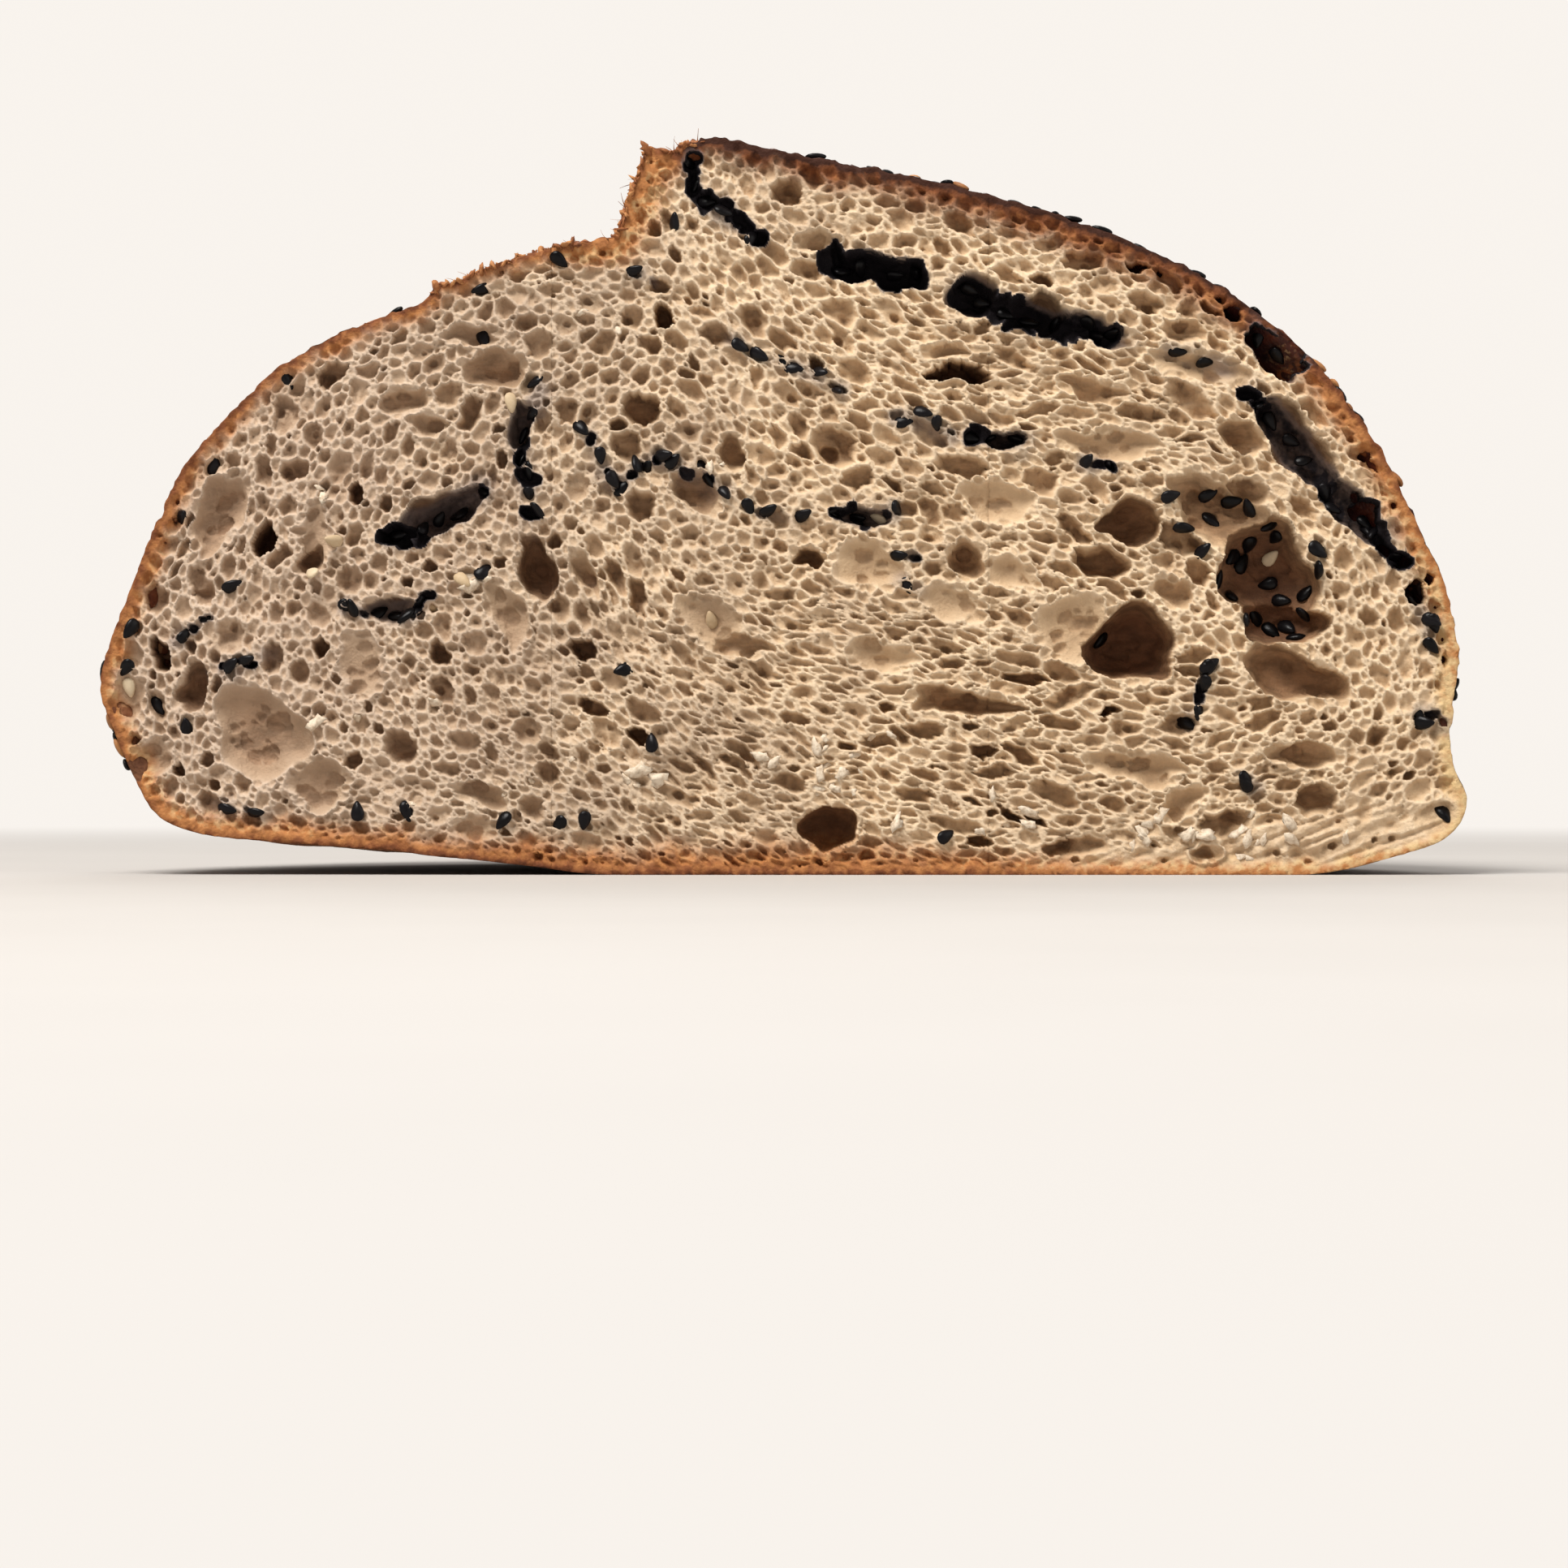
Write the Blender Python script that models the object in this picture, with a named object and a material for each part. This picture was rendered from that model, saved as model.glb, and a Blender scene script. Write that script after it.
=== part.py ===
"""Half of a round, seeded sourdough loaf, cut through the middle with its crumb showing.

The half stands on its bottom crust. X runs across the cut, Z is up, and the rounded end of the
loaf points along +Y. The origin is on the floor under the middle of the half, so the cut face
lies at Y = -HALF_LENGTH / 2. Sizes are in millimetres here, and are turned to metres with MM.
"""

import math
import random

import bmesh
import bpy
from mathutils import Euler, Matrix, Vector, noise

MM = 0.001

# Driving sizes of the half loaf
HALF_LENGTH = 100.0
WIDEST_HEIGHT = 28.0
FLAT_DROP = 0.35
END_SHIFT = 5.0

# The outline of the cut, seen from the front: (x, z), from the flat of the bottom crust round by
# the right side, the seeded top, the ear with its notch, and the pale left side
OUTLINE = [
    (-25.0, 0.0), (2.0, 0.0), (30.0, 0.0), (56.0, 0.0), (76.0, 0.0), (88.0, 2.2),
    (96.5, 5.2), (99.8, 10.5), (97.8, 16.5), (97.6, 23.0), (98.6, 32.0), (96.8, 41.0),
    (93.6, 49.5), (89.4, 58.0), (84.0, 66.5), (77.4, 74.8), (69.4, 82.0), (60.0, 88.2),
    (49.5, 93.0), (38.5, 97.0), (27.0, 100.3), (15.0, 102.9), (4.0, 104.7), (-4.0, 106.6),
    (-9.5, 107.8), (-13.2, 107.0), (-15.5, 106.0), (-19.8, 106.0), (-21.6, 102.5), (-23.0, 98.0),
    (-24.6, 93.6), (-27.5, 92.9), (-33.0, 92.0), (-40.0, 89.8), (-47.0, 87.1), (-50.5, 86.2),
    (-53.3, 83.4), (-60.0, 81.2), (-68.0, 77.6), (-75.5, 72.6), (-82.0, 66.4), (-87.5, 59.5),
    (-91.8, 51.5), (-95.3, 43.0), (-98.4, 34.5), (-100.0, 27.0), (-98.0, 20.5), (-95.0, 14.0),
    (-91.0, 8.2), (-82.0, 5.6), (-68.0, 4.2), (-52.0, 3.0), (-38.0, 1.4),
]

# How squarely the loaf rounds off towards its end: across, over the top and under the bottom.
# The bottom's power gives way to the top's over BASE_BAND, a pair of heights.
ACROSS_POWER = 2.15
TOP_POWER = 2.1
BOTTOM_POWER = 5.0
BASE_BAND = (4.0, 45.0)

# Broad hand-shaped swells, which fade out towards the cut and the floor
SWELL = 1.6
SWELL_SPACING = 28.0
SWELL_FROM_CUT = (0.0, 0.35)
SWELL_FROM_FLOOR = (2.0, 20.0)
DROP_FROM_CUT = (0.0, 0.2)

# Mesh density
AROUND = 2 * len(OUTLINE)
ALONG = 24
SEED_AROUND = 5
SEED_ALONG = 3
WELD = 2e-6
SCRAP_FACES = 40

# The larger holes in the cut crumb: x, z, length, height, tilt in degrees and depth
HOLES = [
    (50.9, 33.6, 13.2, 11.5, 0, 8), (63.5, 53.5, 15, 9, -30, 7), (71.0, 44.5, 15, 12, -45, 9),
    (73.0, 37.5, 11, 8, -10, 9), (74.7, 29.4, 17.5, 6.5, -20, 8), (50.7, 52.0, 7.5, 6.5, 10, 7),
    (71.7, 76.7, 9.5, 5.0, -42, 6), (75.3, 63.3, 17.5, 7.0, -50, 8), (83.6, 53.2, 13, 4.5, -58, 5),
    (14.1, 88.4, 15.5, 4.8, -8, 9), (27.8, 84.6, 7, 7, 0, 9), (37.9, 82.3, 10, 5.5, -10, 9),
    (45.6, 79.9, 12, 4.2, -12, 6), (31.3, 54.4, 11, 6, -15, 3), (48.0, 62.9, 15, 4.5, -6, 4),
    (12.3, 45.5, 9.5, 7, -20, 5), (-36.3, 44.9, 9.5, 5, -75, 8), (-40.5, 38.0, 11, 5, -62, 4),
    (-50.0, 53.0, 13, 5.5, 22, 9), (-42.3, 74.0, 9, 5.5, 10, 5), (-82.6, 53.2, 12, 6.5, 62, 6),
    (-76.7, 20.5, 15, 12, -50, 5), (-67.8, 13.4, 8.5, 7, 0, 4), (6.4, 6.8, 8, 6, 0, 8),
    (26.0, 25.3, 16, 4, -6, 6), (52.0, 15.8, 15, 4.5, -10, 5),
]
HOLE_SPREAD = 1.06
HOLE_PROUD = 0.4

# Seeds baked into the crust: length, width and thickness, and how many of each stretch of the
# outline are kept here, as (first outline point, last outline point, count)
SEED_SIZE = (3.3, 2.0, 1.3)
SEED_PINCH = 0.35
SEED_SUNK = 0.28
SEED_SPACING = 4.6
SEED_STRETCHES = [(8.0, 23.4, 136), (37.0, 47.5, 24)]
SEED_REACH = (0.03, 1.44)
SEED_TRIES = 60
END_CHANCE = 0.12
RANDOM_SEED = 41

CRUST_COLOUR = (0.16, 0.062, 0.036, 1.0)
CRUST_ROUGHNESS = 0.55


def outline_point(u):
    """A point (x, z) of the cut's outline, where u counts the outline's points and wraps round."""
    first = math.floor(u)
    t = u - first
    a, b, c, d = (OUTLINE[(first + k) % len(OUTLINE)] for k in (-1, 0, 1, 2))
    return tuple(
        0.5 * (2 * q + (r - p) * t + (2 * p - 5 * q + 4 * r - s) * t * t
               + (3 * q - p - 3 * r + s) * t ** 3)
        for p, q, r, s in zip(a, b, c, d)
    )


def smooth_step(low, high, value):
    t = min(max((value - low) / (high - low), 0.0), 1.0)
    return t * t * (3 - 2 * t)


def narrowing(s, power):
    """How much of its size a section keeps at the share s of the way to the loaf's end."""
    return max(1 - abs(s) ** power, 0.0) ** (1 / power)


def loaf_point(u, s):
    """A point of the loaf's skin: u runs round the outline, and s from 0 at the cut to 1 at the end."""
    x, z = outline_point(u)
    height_power = BOTTOM_POWER + (TOP_POWER - BOTTOM_POWER) * smooth_step(*BASE_BAND, z)
    across = narrowing(s, ACROSS_POWER)
    rise = narrowing(s, height_power)
    point = Vector((
        x * across + END_SHIFT * (1 - across),
        HALF_LENGTH * s,
        WIDEST_HEIGHT + (z - WIDEST_HEIGHT) * rise,
    ))
    from_cut = smooth_step(*SWELL_FROM_CUT, abs(s))
    from_floor = smooth_step(*SWELL_FROM_FLOOR, point.z)
    outward = (point - Vector((0, 0, WIDEST_HEIGHT))).normalized()
    point += outward * SWELL * from_cut * from_floor * noise.noise(point / SWELL_SPACING)
    point.z = max(point.z - FLAT_DROP * smooth_step(*DROP_FROM_CUT, abs(s)), 0.0)
    return point


def in_place(point):
    """Turns a point counted from the cut, in millimetres, into its place in metres."""
    return Vector((point.x, point.y - HALF_LENGTH / 2, point.z)) * MM


def crust_material():
    material = bpy.data.materials.new("baked_crust")
    material.use_nodes = True
    shader = material.node_tree.nodes["Principled BSDF"]
    shader.inputs["Base Color"].default_value = CRUST_COLOUR
    shader.inputs["Roughness"].default_value = CRUST_ROUGHNESS
    return material


def make_loaf(collection):
    """A whole loaf shaped from a sphere whose poles are its two ends, then cut in half."""
    bpy.ops.mesh.primitive_uv_sphere_add(
        segments=AROUND, ring_count=ALONG, radius=1.0, rotation=(math.pi / 2, 0, 0)
    )
    loaf = bpy.context.object
    bpy.ops.object.transform_apply(location=False, rotation=True, scale=False)
    loaf.name = "loaf_half"
    for vertex in loaf.data.vertices:
        turn = math.atan2(vertex.co.z, vertex.co.x) / (2 * math.pi)
        vertex.co = in_place(loaf_point(turn * len(OUTLINE), vertex.co.y))
    shape = bmesh.new()
    shape.from_mesh(loaf.data)
    cut_at = Vector((0, -HALF_LENGTH / 2 * MM, 0))
    bmesh.ops.bisect_plane(
        shape, geom=shape.verts[:] + shape.edges[:] + shape.faces[:], dist=1e-6,
        plane_co=cut_at, plane_no=(0, -1, 0), clear_outer=True,
    )
    rim = [edge for edge in shape.edges if edge.is_boundary]
    bmesh.ops.contextual_create(shape, geom=rim)
    bmesh.ops.remove_doubles(shape, verts=shape.verts, dist=1e-6)
    bmesh.ops.recalc_face_normals(shape, faces=shape.faces)
    shape.to_mesh(loaf.data)
    shape.free()
    move_to(loaf, collection)
    return loaf


def move_to(thing, collection):
    for holder in thing.users_collection:
        holder.objects.unlink(thing)
    collection.objects.link(thing)


def make_hole_cutters(collection):
    """One flattened ball for each large hole that the knife opened."""
    for number, (x, z, length, height, tilt, depth) in enumerate(HOLES):
        bpy.ops.mesh.primitive_ico_sphere_add(subdivisions=2, radius=1.0)
        cutter = bpy.context.object
        cutter.name = f"hole_{number:02d}"
        half_size = (length / 2 * HOLE_SPREAD, depth, height / 2 * HOLE_SPREAD, 1)
        cutter.data.transform(Matrix.Diagonal(half_size))
        cutter.data.transform(Euler((0, -math.radians(tilt), 0)).to_matrix().to_4x4())
        cutter.data.transform(Matrix.Translation((x, -HOLE_PROUD, z)))
        for vertex in cutter.data.vertices:
            vertex.co = in_place(vertex.co)
        cutter.hide_render = True
        cutter.display_type = "WIRE"
        move_to(cutter, collection)


def seed_places():
    """Places on the skin for the seeds, spread by dart throwing so that no two lie too close."""
    draw = random.Random(RANDOM_SEED)
    places = []
    for first, last, count in SEED_STRETCHES:
        wanted = len(places) + count
        for _ in range(count * SEED_TRIES):
            u = draw.uniform(first, last)
            s = math.sin(draw.uniform(*SEED_REACH))
            spot = loaf_point(u, s)
            turn = draw.uniform(0, 2 * math.pi)
            likely = narrowing(s, 2.0) + END_CHANCE > draw.random()
            clear = all((spot - other).length > SEED_SPACING for other, _ in places)
            if likely and clear and len(places) < wanted:
                places.append((spot, turn))
    return places


def make_seeds(collection, loaf):
    """Small pointed seeds, sunk a little into the crust where its faces really lie."""
    length, width, thickness = (size * MM for size in SEED_SIZE)
    for number, (place, turn) in enumerate(seed_places()):
        _, spot, normal, _ = loaf.closest_point_on_mesh(in_place(place))
        bpy.ops.mesh.primitive_uv_sphere_add(
            segments=SEED_AROUND, ring_count=SEED_ALONG, radius=1.0
        )
        seed = bpy.context.object
        seed.name = f"seed_{number:03d}"
        for vertex in seed.data.vertices:
            pinch = 1 - SEED_PINCH * vertex.co.z
            vertex.co = Vector((
                vertex.co.z * length / 2,
                vertex.co.x * width / 2 * pinch,
                vertex.co.y * thickness / 2,
            ))
        stand = normal.to_track_quat("Z", "X").to_matrix().to_4x4()
        spin = Matrix.Rotation(turn, 4, "Z")
        lift = normal * thickness * (0.5 - SEED_SUNK)
        seed.data.transform(Matrix.Translation(spot + lift) @ stand @ spin)
        move_to(seed, collection)


def apply_boolean(body, collection, operation):
    """Cuts a collection from the body, or joins it to the body, and keeps the result."""
    step = body.modifiers.new(f"{operation.lower()}_{collection.name}", "BOOLEAN")
    step.operation = operation
    step.operand_type = "COLLECTION"
    step.collection = collection
    step.solver = "MANIFOLD"
    bpy.context.view_layer.objects.active = body
    bpy.ops.object.modifier_apply(modifier=step.name)
    for thing in list(collection.objects):
        bpy.data.objects.remove(thing)
    weld(body)


def joined_faces(first):
    """All faces reached from one face across its edges."""
    reached = {first}
    waiting = [first]
    while waiting:
        face = waiting.pop()
        for edge in face.edges:
            for beside in edge.link_faces:
                if beside not in reached:
                    reached.add(beside)
                    waiting.append(beside)
    return reached


def weld(body):
    """Closes hairline slits where a Boolean's cuts meet, and drops scraps too small to see."""
    shape = bmesh.new()
    shape.from_mesh(body.data)
    bmesh.ops.remove_doubles(shape, verts=shape.verts, dist=WELD)
    bmesh.ops.triangulate(shape, faces=shape.faces)
    unsorted = set(shape.faces)
    scraps = []
    while unsorted:
        piece = joined_faces(next(iter(unsorted)))
        unsorted -= piece
        if len(piece) < SCRAP_FACES:
            scraps.extend(piece)
    bmesh.ops.delete(shape, geom=scraps, context="FACES")
    shape.to_mesh(body.data)
    shape.free()


def new_collection(name):
    collection = bpy.data.collections.new(name)
    bpy.context.scene.collection.children.link(collection)
    return collection


def main():
    for thing in list(bpy.data.objects):
        bpy.data.objects.remove(thing)
    bread = new_collection("sourdough_loaf")
    cutters = new_collection("hole_cutters")
    seeds = new_collection("crust_seeds")
    loaf = make_loaf(bread)
    make_hole_cutters(cutters)
    apply_boolean(loaf, cutters, "DIFFERENCE")
    make_seeds(seeds, loaf)
    apply_boolean(loaf, seeds, "UNION")
    loaf.data.materials.clear()
    loaf.data.materials.append(crust_material())


main()
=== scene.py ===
# %% [markdown]
# # Half of a seeded sourdough loaf
# The loaf was cut through its middle, and this half stands on its bottom crust with the cut
# crumb towards the camera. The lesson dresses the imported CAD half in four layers: a crust with a
# split and a seeded side, blocks of open crumb, the seeds, and torn bits. Sizes are in
# millimetres counted from the cut, and one function turns them into metres.

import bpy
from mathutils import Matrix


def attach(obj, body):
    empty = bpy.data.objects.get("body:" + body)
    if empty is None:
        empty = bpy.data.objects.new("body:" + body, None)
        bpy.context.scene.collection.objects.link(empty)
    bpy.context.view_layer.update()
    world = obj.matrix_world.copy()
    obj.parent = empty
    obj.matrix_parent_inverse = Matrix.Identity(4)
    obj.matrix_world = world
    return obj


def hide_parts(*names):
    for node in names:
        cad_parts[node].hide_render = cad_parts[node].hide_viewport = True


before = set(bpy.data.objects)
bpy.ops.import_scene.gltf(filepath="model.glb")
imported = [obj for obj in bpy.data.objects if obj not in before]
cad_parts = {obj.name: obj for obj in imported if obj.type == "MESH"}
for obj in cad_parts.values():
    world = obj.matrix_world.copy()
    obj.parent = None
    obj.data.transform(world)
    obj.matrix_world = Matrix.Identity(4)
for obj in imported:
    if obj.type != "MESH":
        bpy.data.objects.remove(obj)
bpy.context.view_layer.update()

# %% [markdown]
# Meshes this fine are moved as arrays of points, which is much faster than point by point. These
# tools read and write such arrays, turn millimetres into metres, and apply a modifier at once.

# %% Tools for the lesson
import math

import bmesh
import bpy
import numpy as np
from mathutils import Matrix, Vector, noise

MM = 0.001
HALF_LENGTH = 100.0
CUT_Y = -HALF_LENGTH / 2
print("the cut lies at y =", CUT_Y * MM, "metres")


def in_place(points):
    """Millimetres counted from the cut, as rows of x, y and z, become places in metres."""
    return (np.asarray(points, float) + (0.0, CUT_Y, 0.0)) * MM


def read_points(mesh, name="co"):
    values = np.empty(len(mesh.vertices) * 3)
    mesh.vertices.foreach_get(name, values)
    return values.reshape(-1, 3)


def write_points(mesh, points):
    mesh.vertices.foreach_set("co", np.asarray(points, float).ravel())
    mesh.update()


def smooth_step(low, high, value):
    t = np.clip((value - low) / (high - low), 0.0, 1.0)
    return t * t * (3 - 2 * t)


def new_object(name, shape):
    """Turns a bmesh into a scene object that sits at the origin."""
    mesh = bpy.data.meshes.new(name)
    shape.to_mesh(mesh)
    shape.free()
    thing = bpy.data.objects.new(name, mesh)
    bpy.context.scene.collection.objects.link(thing)
    return thing


def apply_modifier(thing, kind, **settings):
    step = thing.modifiers.new(kind.lower(), kind)
    for setting, value in settings.items():
        setattr(step, setting, value)
    bpy.context.view_layer.objects.active = thing
    bpy.ops.object.modifier_apply(modifier=step.name)


def triangles(thing):
    return sum(len(face.vertices) - 2 for face in thing.data.polygons)


# %% [markdown]
# Random patterns on a flat sheet come from a table of random numbers that is read smoothly
# between its entries. One table serves every pattern, moved along by a number of its own.

# %% Patterns on a flat sheet
TABLE_SIDE = 256
random_table = np.random.default_rng(5).uniform(-1, 1, (TABLE_SIDE, TABLE_SIDE))


def pattern(x, z, size, number):
    """Smooth random values from -1 to 1 whose bumps are about size across."""
    x = x / size + 37.3 * number
    z = z / size + 17.7 * number
    x0 = np.floor(x).astype(int)
    z0 = np.floor(z).astype(int)
    tx = smooth_step(0, 1, x - x0)
    tz = smooth_step(0, 1, z - z0)
    corner = [
        random_table[(x0 + i) % TABLE_SIDE, (z0 + j) % TABLE_SIDE] for i in (0, 1) for j in (0, 1)
    ]
    left = corner[0] + (corner[1] - corner[0]) * tz
    right = corner[2] + (corner[3] - corner[2]) * tz
    return left + (right - left) * tx


print("the table holds", random_table.size, "random numbers")

# %% [markdown]
# ## The crust
# The skin is a sphere whose poles are the loaf's two ends. Each of its rings is moved onto the
# outline of the cut, narrowed towards the end. A sphere is used because its meridians follow the
# split of the crust from one end to the other, as the cut of the blade did.

# %% The outline of the cut and the skin that runs back from it
OUTLINE = np.array([
    (-25.0, 0.0), (2.0, 0.0), (30.0, 0.0), (56.0, 0.0), (76.0, 0.0), (88.0, 2.2),
    (96.5, 5.2), (99.8, 10.5), (97.8, 16.5), (97.6, 23.0), (98.6, 32.0), (96.8, 41.0),
    (93.6, 49.5), (89.4, 58.0), (84.0, 66.5), (77.4, 74.8), (69.4, 82.0), (60.0, 88.2),
    (49.5, 93.0), (38.5, 97.0), (27.0, 100.3), (15.0, 102.9), (4.0, 104.7), (-4.0, 106.6),
    (-9.5, 107.8), (-13.2, 107.0), (-15.5, 106.0), (-19.8, 106.0), (-21.6, 102.5), (-23.0, 98.0),
    (-24.6, 93.6), (-27.5, 92.9), (-33.0, 92.0), (-40.0, 89.8), (-47.0, 87.1), (-50.5, 86.2),
    (-53.3, 83.4), (-60.0, 81.2), (-68.0, 77.6), (-75.5, 72.6), (-82.0, 66.4), (-87.5, 59.5),
    (-91.8, 51.5), (-95.3, 43.0), (-98.4, 34.5), (-100.0, 27.0), (-98.0, 20.5), (-95.0, 14.0),
    (-91.0, 8.2), (-82.0, 5.6), (-68.0, 4.2), (-52.0, 3.0), (-38.0, 1.4),
])
WIDEST_HEIGHT = 28.0
END_SHIFT = 5.0
ACROSS_POWER = 2.15
TOP_POWER = 2.1
BOTTOM_POWER = 5.0
BASE_BAND = (4.0, 45.0)
SWELL = 1.6
SWELL_SPACING = 28.0
FLAT_DROP = 0.35


def outline_points(u):
    """The outline at u, which counts its points and wraps round."""
    first = np.floor(u).astype(int)
    t = (u - first)[:, None]
    a, b, c, d = (OUTLINE[(first + k) % len(OUTLINE)] for k in (-1, 0, 1, 2))
    return 0.5 * (2 * b + (c - a) * t + (2 * a - 5 * b + 4 * c - d) * t ** 2
                  + (3 * b - a - 3 * c + d) * t ** 3)


def solid_pattern(points, size, number=0):
    """Smooth random values in space, from about -1 to 1, whose lumps are about size across."""
    shift = Vector((31.7, 11.9, 5.3)) * number
    rows = points.reshape(-1, 3)
    values = [noise.noise(Vector(point) / size + shift) for point in rows]
    return np.array(values).reshape(points.shape[:-1])


def narrowing(s, power):
    return np.maximum(1 - np.abs(s) ** power, 0.0) ** (1 / power)


def skin_points(u, s):
    """The plain skin: u runs round the outline, and s from 0 at the cut to 1 at the end."""
    x, z = outline_points(u).T
    height_power = BOTTOM_POWER + (TOP_POWER - BOTTOM_POWER) * smooth_step(*BASE_BAND, z)
    across = narrowing(s, ACROSS_POWER)
    points = np.column_stack((
        x * across + END_SHIFT * (1 - across),
        HALF_LENGTH * s,
        WIDEST_HEIGHT + (z - WIDEST_HEIGHT) * narrowing(s, height_power),
    ))
    fade = smooth_step(0.0, 0.35, np.abs(s)) * smooth_step(2.0, 20.0, points[:, 2])
    outward = points - (0.0, 0.0, WIDEST_HEIGHT)
    outward /= np.linalg.norm(outward, axis=1)[:, None]
    points += outward * (SWELL * fade * solid_pattern(points, SWELL_SPACING))[:, None]
    points[:, 2] -= FLAT_DROP * smooth_step(0.0, 0.2, np.abs(s))
    points[:, 2] = np.maximum(points[:, 2], 0.0)
    return points


print("the outline has", len(OUTLINE), "corners and is", np.ptp(OUTLINE, axis=0), "mm across")

# %% [markdown]
# The skin is held as a sheet: each row is a ring round the loaf, and each column runs from the
# cut to the far end. The rows crowd towards the end, where the loaf turns in. On a sheet, every
# pattern and every mask can be worked out for all its points at once.

# %% The skin as a sheet of rows
AROUND = 18 * len(OUTLINE)
RINGS = 180
BOWL = [(0.0, 30.0), (0.3, 30.0), (0.62, 22.0), (0.90, 8.0), (0.982, 1.6)]
RIM_ROW = len(BOWL)
ROWS = RIM_ROW + RINGS

sheet_u, turn = np.meshgrid(
    np.linspace(0, len(OUTLINE), AROUND + 1), np.linspace(0, math.pi / 2, RINGS + 1)
)
sheet_s = np.sin(turn)
skin = skin_points(sheet_u.ravel(), sheet_s.ravel()).reshape(*sheet_u.shape, 3)
print("skin:", skin.shape[0], "rings of", skin.shape[1] - 1, "points")

# %% [markdown]
# The baked skin is never smooth. The seeded side is a dark shell of small blisters, and the side
# that opened in the oven is torn into short strands that run across the split. Both are moved
# into the sheet here, so that the outline and the light show them, and the finer grain is left
# to the materials.

# %% Where each kind of crust lies
SEEDED_EDGE = 24.65


def between(u, start, full, end, gone):
    return smooth_step(start, full, u) * (1 - smooth_step(end, gone, u))


ragged_u = sheet_u + 0.16 * solid_pattern(skin, 3.0, 1) + 0.1 * solid_pattern(skin, 1.2, 2)
seeded = between(ragged_u, 6.5, 9.5, SEEDED_EDGE - 0.08, SEEDED_EDGE + 0.08)
flank = between(ragged_u, SEEDED_EDGE, SEEDED_EDGE + 0.3, 30.6, 31.6)
torn = between(ragged_u, SEEDED_EDGE, SEEDED_EDGE + 0.3, 35.0, 44.0)
pale = between(ragged_u, SEEDED_EDGE - 0.05, SEEDED_EDGE + 0.1, 44.5, 46.5)
charred = between(ragged_u, SEEDED_EDGE - 1.3, SEEDED_EDGE - 0.5, SEEDED_EDGE, SEEDED_EDGE + 0.1)
print("share that is seeded:", seeded.mean().round(2), "and pale:", pale.mean().round(2))

# %% [markdown]
# The relief is a sum of patterns, each on its own kind of crust. Blisters come from lumps of
# noise with their lower half cut off. The torn side is a web, like dough that stretched until it
# broke: the ridges lie where two random cells meet, and the cells are drawn out across the split.

# %% Relief of the crust
along_ring = np.linalg.norm(np.diff(skin[0], axis=0), axis=1)
arc = np.concatenate(([0.0], np.cumsum(along_ring))) * narrowing(sheet_s, 2.1)


def web_pattern(across, along, size):
    """Ridges round flat cells about size wide: 1 on a ridge, and 0 inside a cell."""
    rows = np.column_stack((across.ravel(), along.ravel())) / size
    nearest = [noise.voronoi((x, y, 0.0))[0] for x, y in rows]
    gap = np.array([distances[1] - distances[0] for distances in nearest])
    return 1 - smooth_step(0.0, 0.45, gap).reshape(across.shape)


blisters = smooth_step(0.1, 0.6, solid_pattern(skin, 2.4, 6))
small_blisters = smooth_step(0.15, 0.6, solid_pattern(skin, 1.3, 7))
grain = solid_pattern(skin, 1.0, 8)
pits = smooth_step(0.25, 0.6, solid_pattern(skin, 3.6, 9))
web = web_pattern(0.5 * arc + 1.4 * pits, skin[..., 1] + 0.9 * grain, 2.4)
strands = pattern(arc * 0.3, skin[..., 1] + 1.2 * grain, 1.3, 3)
crumbly = solid_pattern(skin, 1.7, 10)

relief = 0.45 * solid_pattern(skin, 9.0, 5) * (1 - 0.7 * flank) + 0.1 * grain
relief += seeded * (0.42 * blisters + 0.2 * small_blisters - 0.25 * pits)
relief += torn * (0.38 * web + 0.14 * strands - 0.2) * (1 - 0.5 * flank) + 0.6 * flank * crumbly
relief += pale * (0.12 * blisters + 0.12 * grain - 0.5 * pits * (1 - flank))
creases = smooth_step(0.15, 0.75, pattern(arc, 0.1 * skin[..., 1] + 1.5 * grain, 7.0, 4))
relief -= 0.8 * pale * (1 - flank) * (1 - 0.6 * torn) * creases * smooth_step(0.0, 8.0, skin[..., 1])
relief *= smooth_step(0.2, 4.0, skin[..., 2])
print("relief from", relief.min().round(2), "to", relief.max().round(2), "mm")

# %% [markdown]
# A displace modifier would move each point along its normal by a texture. The relief is already
# an array here, so the normals are worked out from the sheet and the points are moved by hand.

# %% Moving the skin out along its normals
across = np.gradient(skin, axis=1)
back = np.gradient(skin, axis=0)
outward = np.cross(across, back)
outward /= np.maximum(np.linalg.norm(outward, axis=2), 1e-9)[..., None]
outward *= np.sign(np.mean(outward[0, :, 2] * (skin[0, :, 2] - 40)))
skin += outward * relief[..., None]
skin[0, :, 1] = 0.0
skin[:, -1] = skin[:, 0]
skin[-1] = skin[-1].mean(axis=0)
rim = skin[0, :-1, ::2].copy()
print("rim: x", rim[:, 0].min().round(1), "to", rim[:, 0].max().round(1), "mm")

# %% [markdown]
# The sheet goes on in front of the rim as a bowl that dips back into the loaf. The crust is then
# one closed solid, and the crumb is a plug that fills the bowl, so neither shows through the
# other.

# %% Rolling the sheet into a closed crust
CENTRE = np.array([5.0, 40.0])
RIM_BACK = 0.15


def shrunk_rim(share, back):
    """The rim drawn in towards the middle of the cut and set back from it."""
    flat = CENTRE + (rim - CENTRE) * share
    return np.column_stack((flat[:, 0], np.full(len(rim), back), flat[:, 1]))


rows = np.empty((ROWS + 1, AROUND + 1, 3))
rows[RIM_ROW:] = skin
rows[RIM_ROW, :, 1] = RIM_BACK
for row, (share, back) in enumerate(BOWL):
    rows[row, :-1] = shrunk_rim(share, back)
    rows[row, -1] = rows[row, 0]

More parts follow.
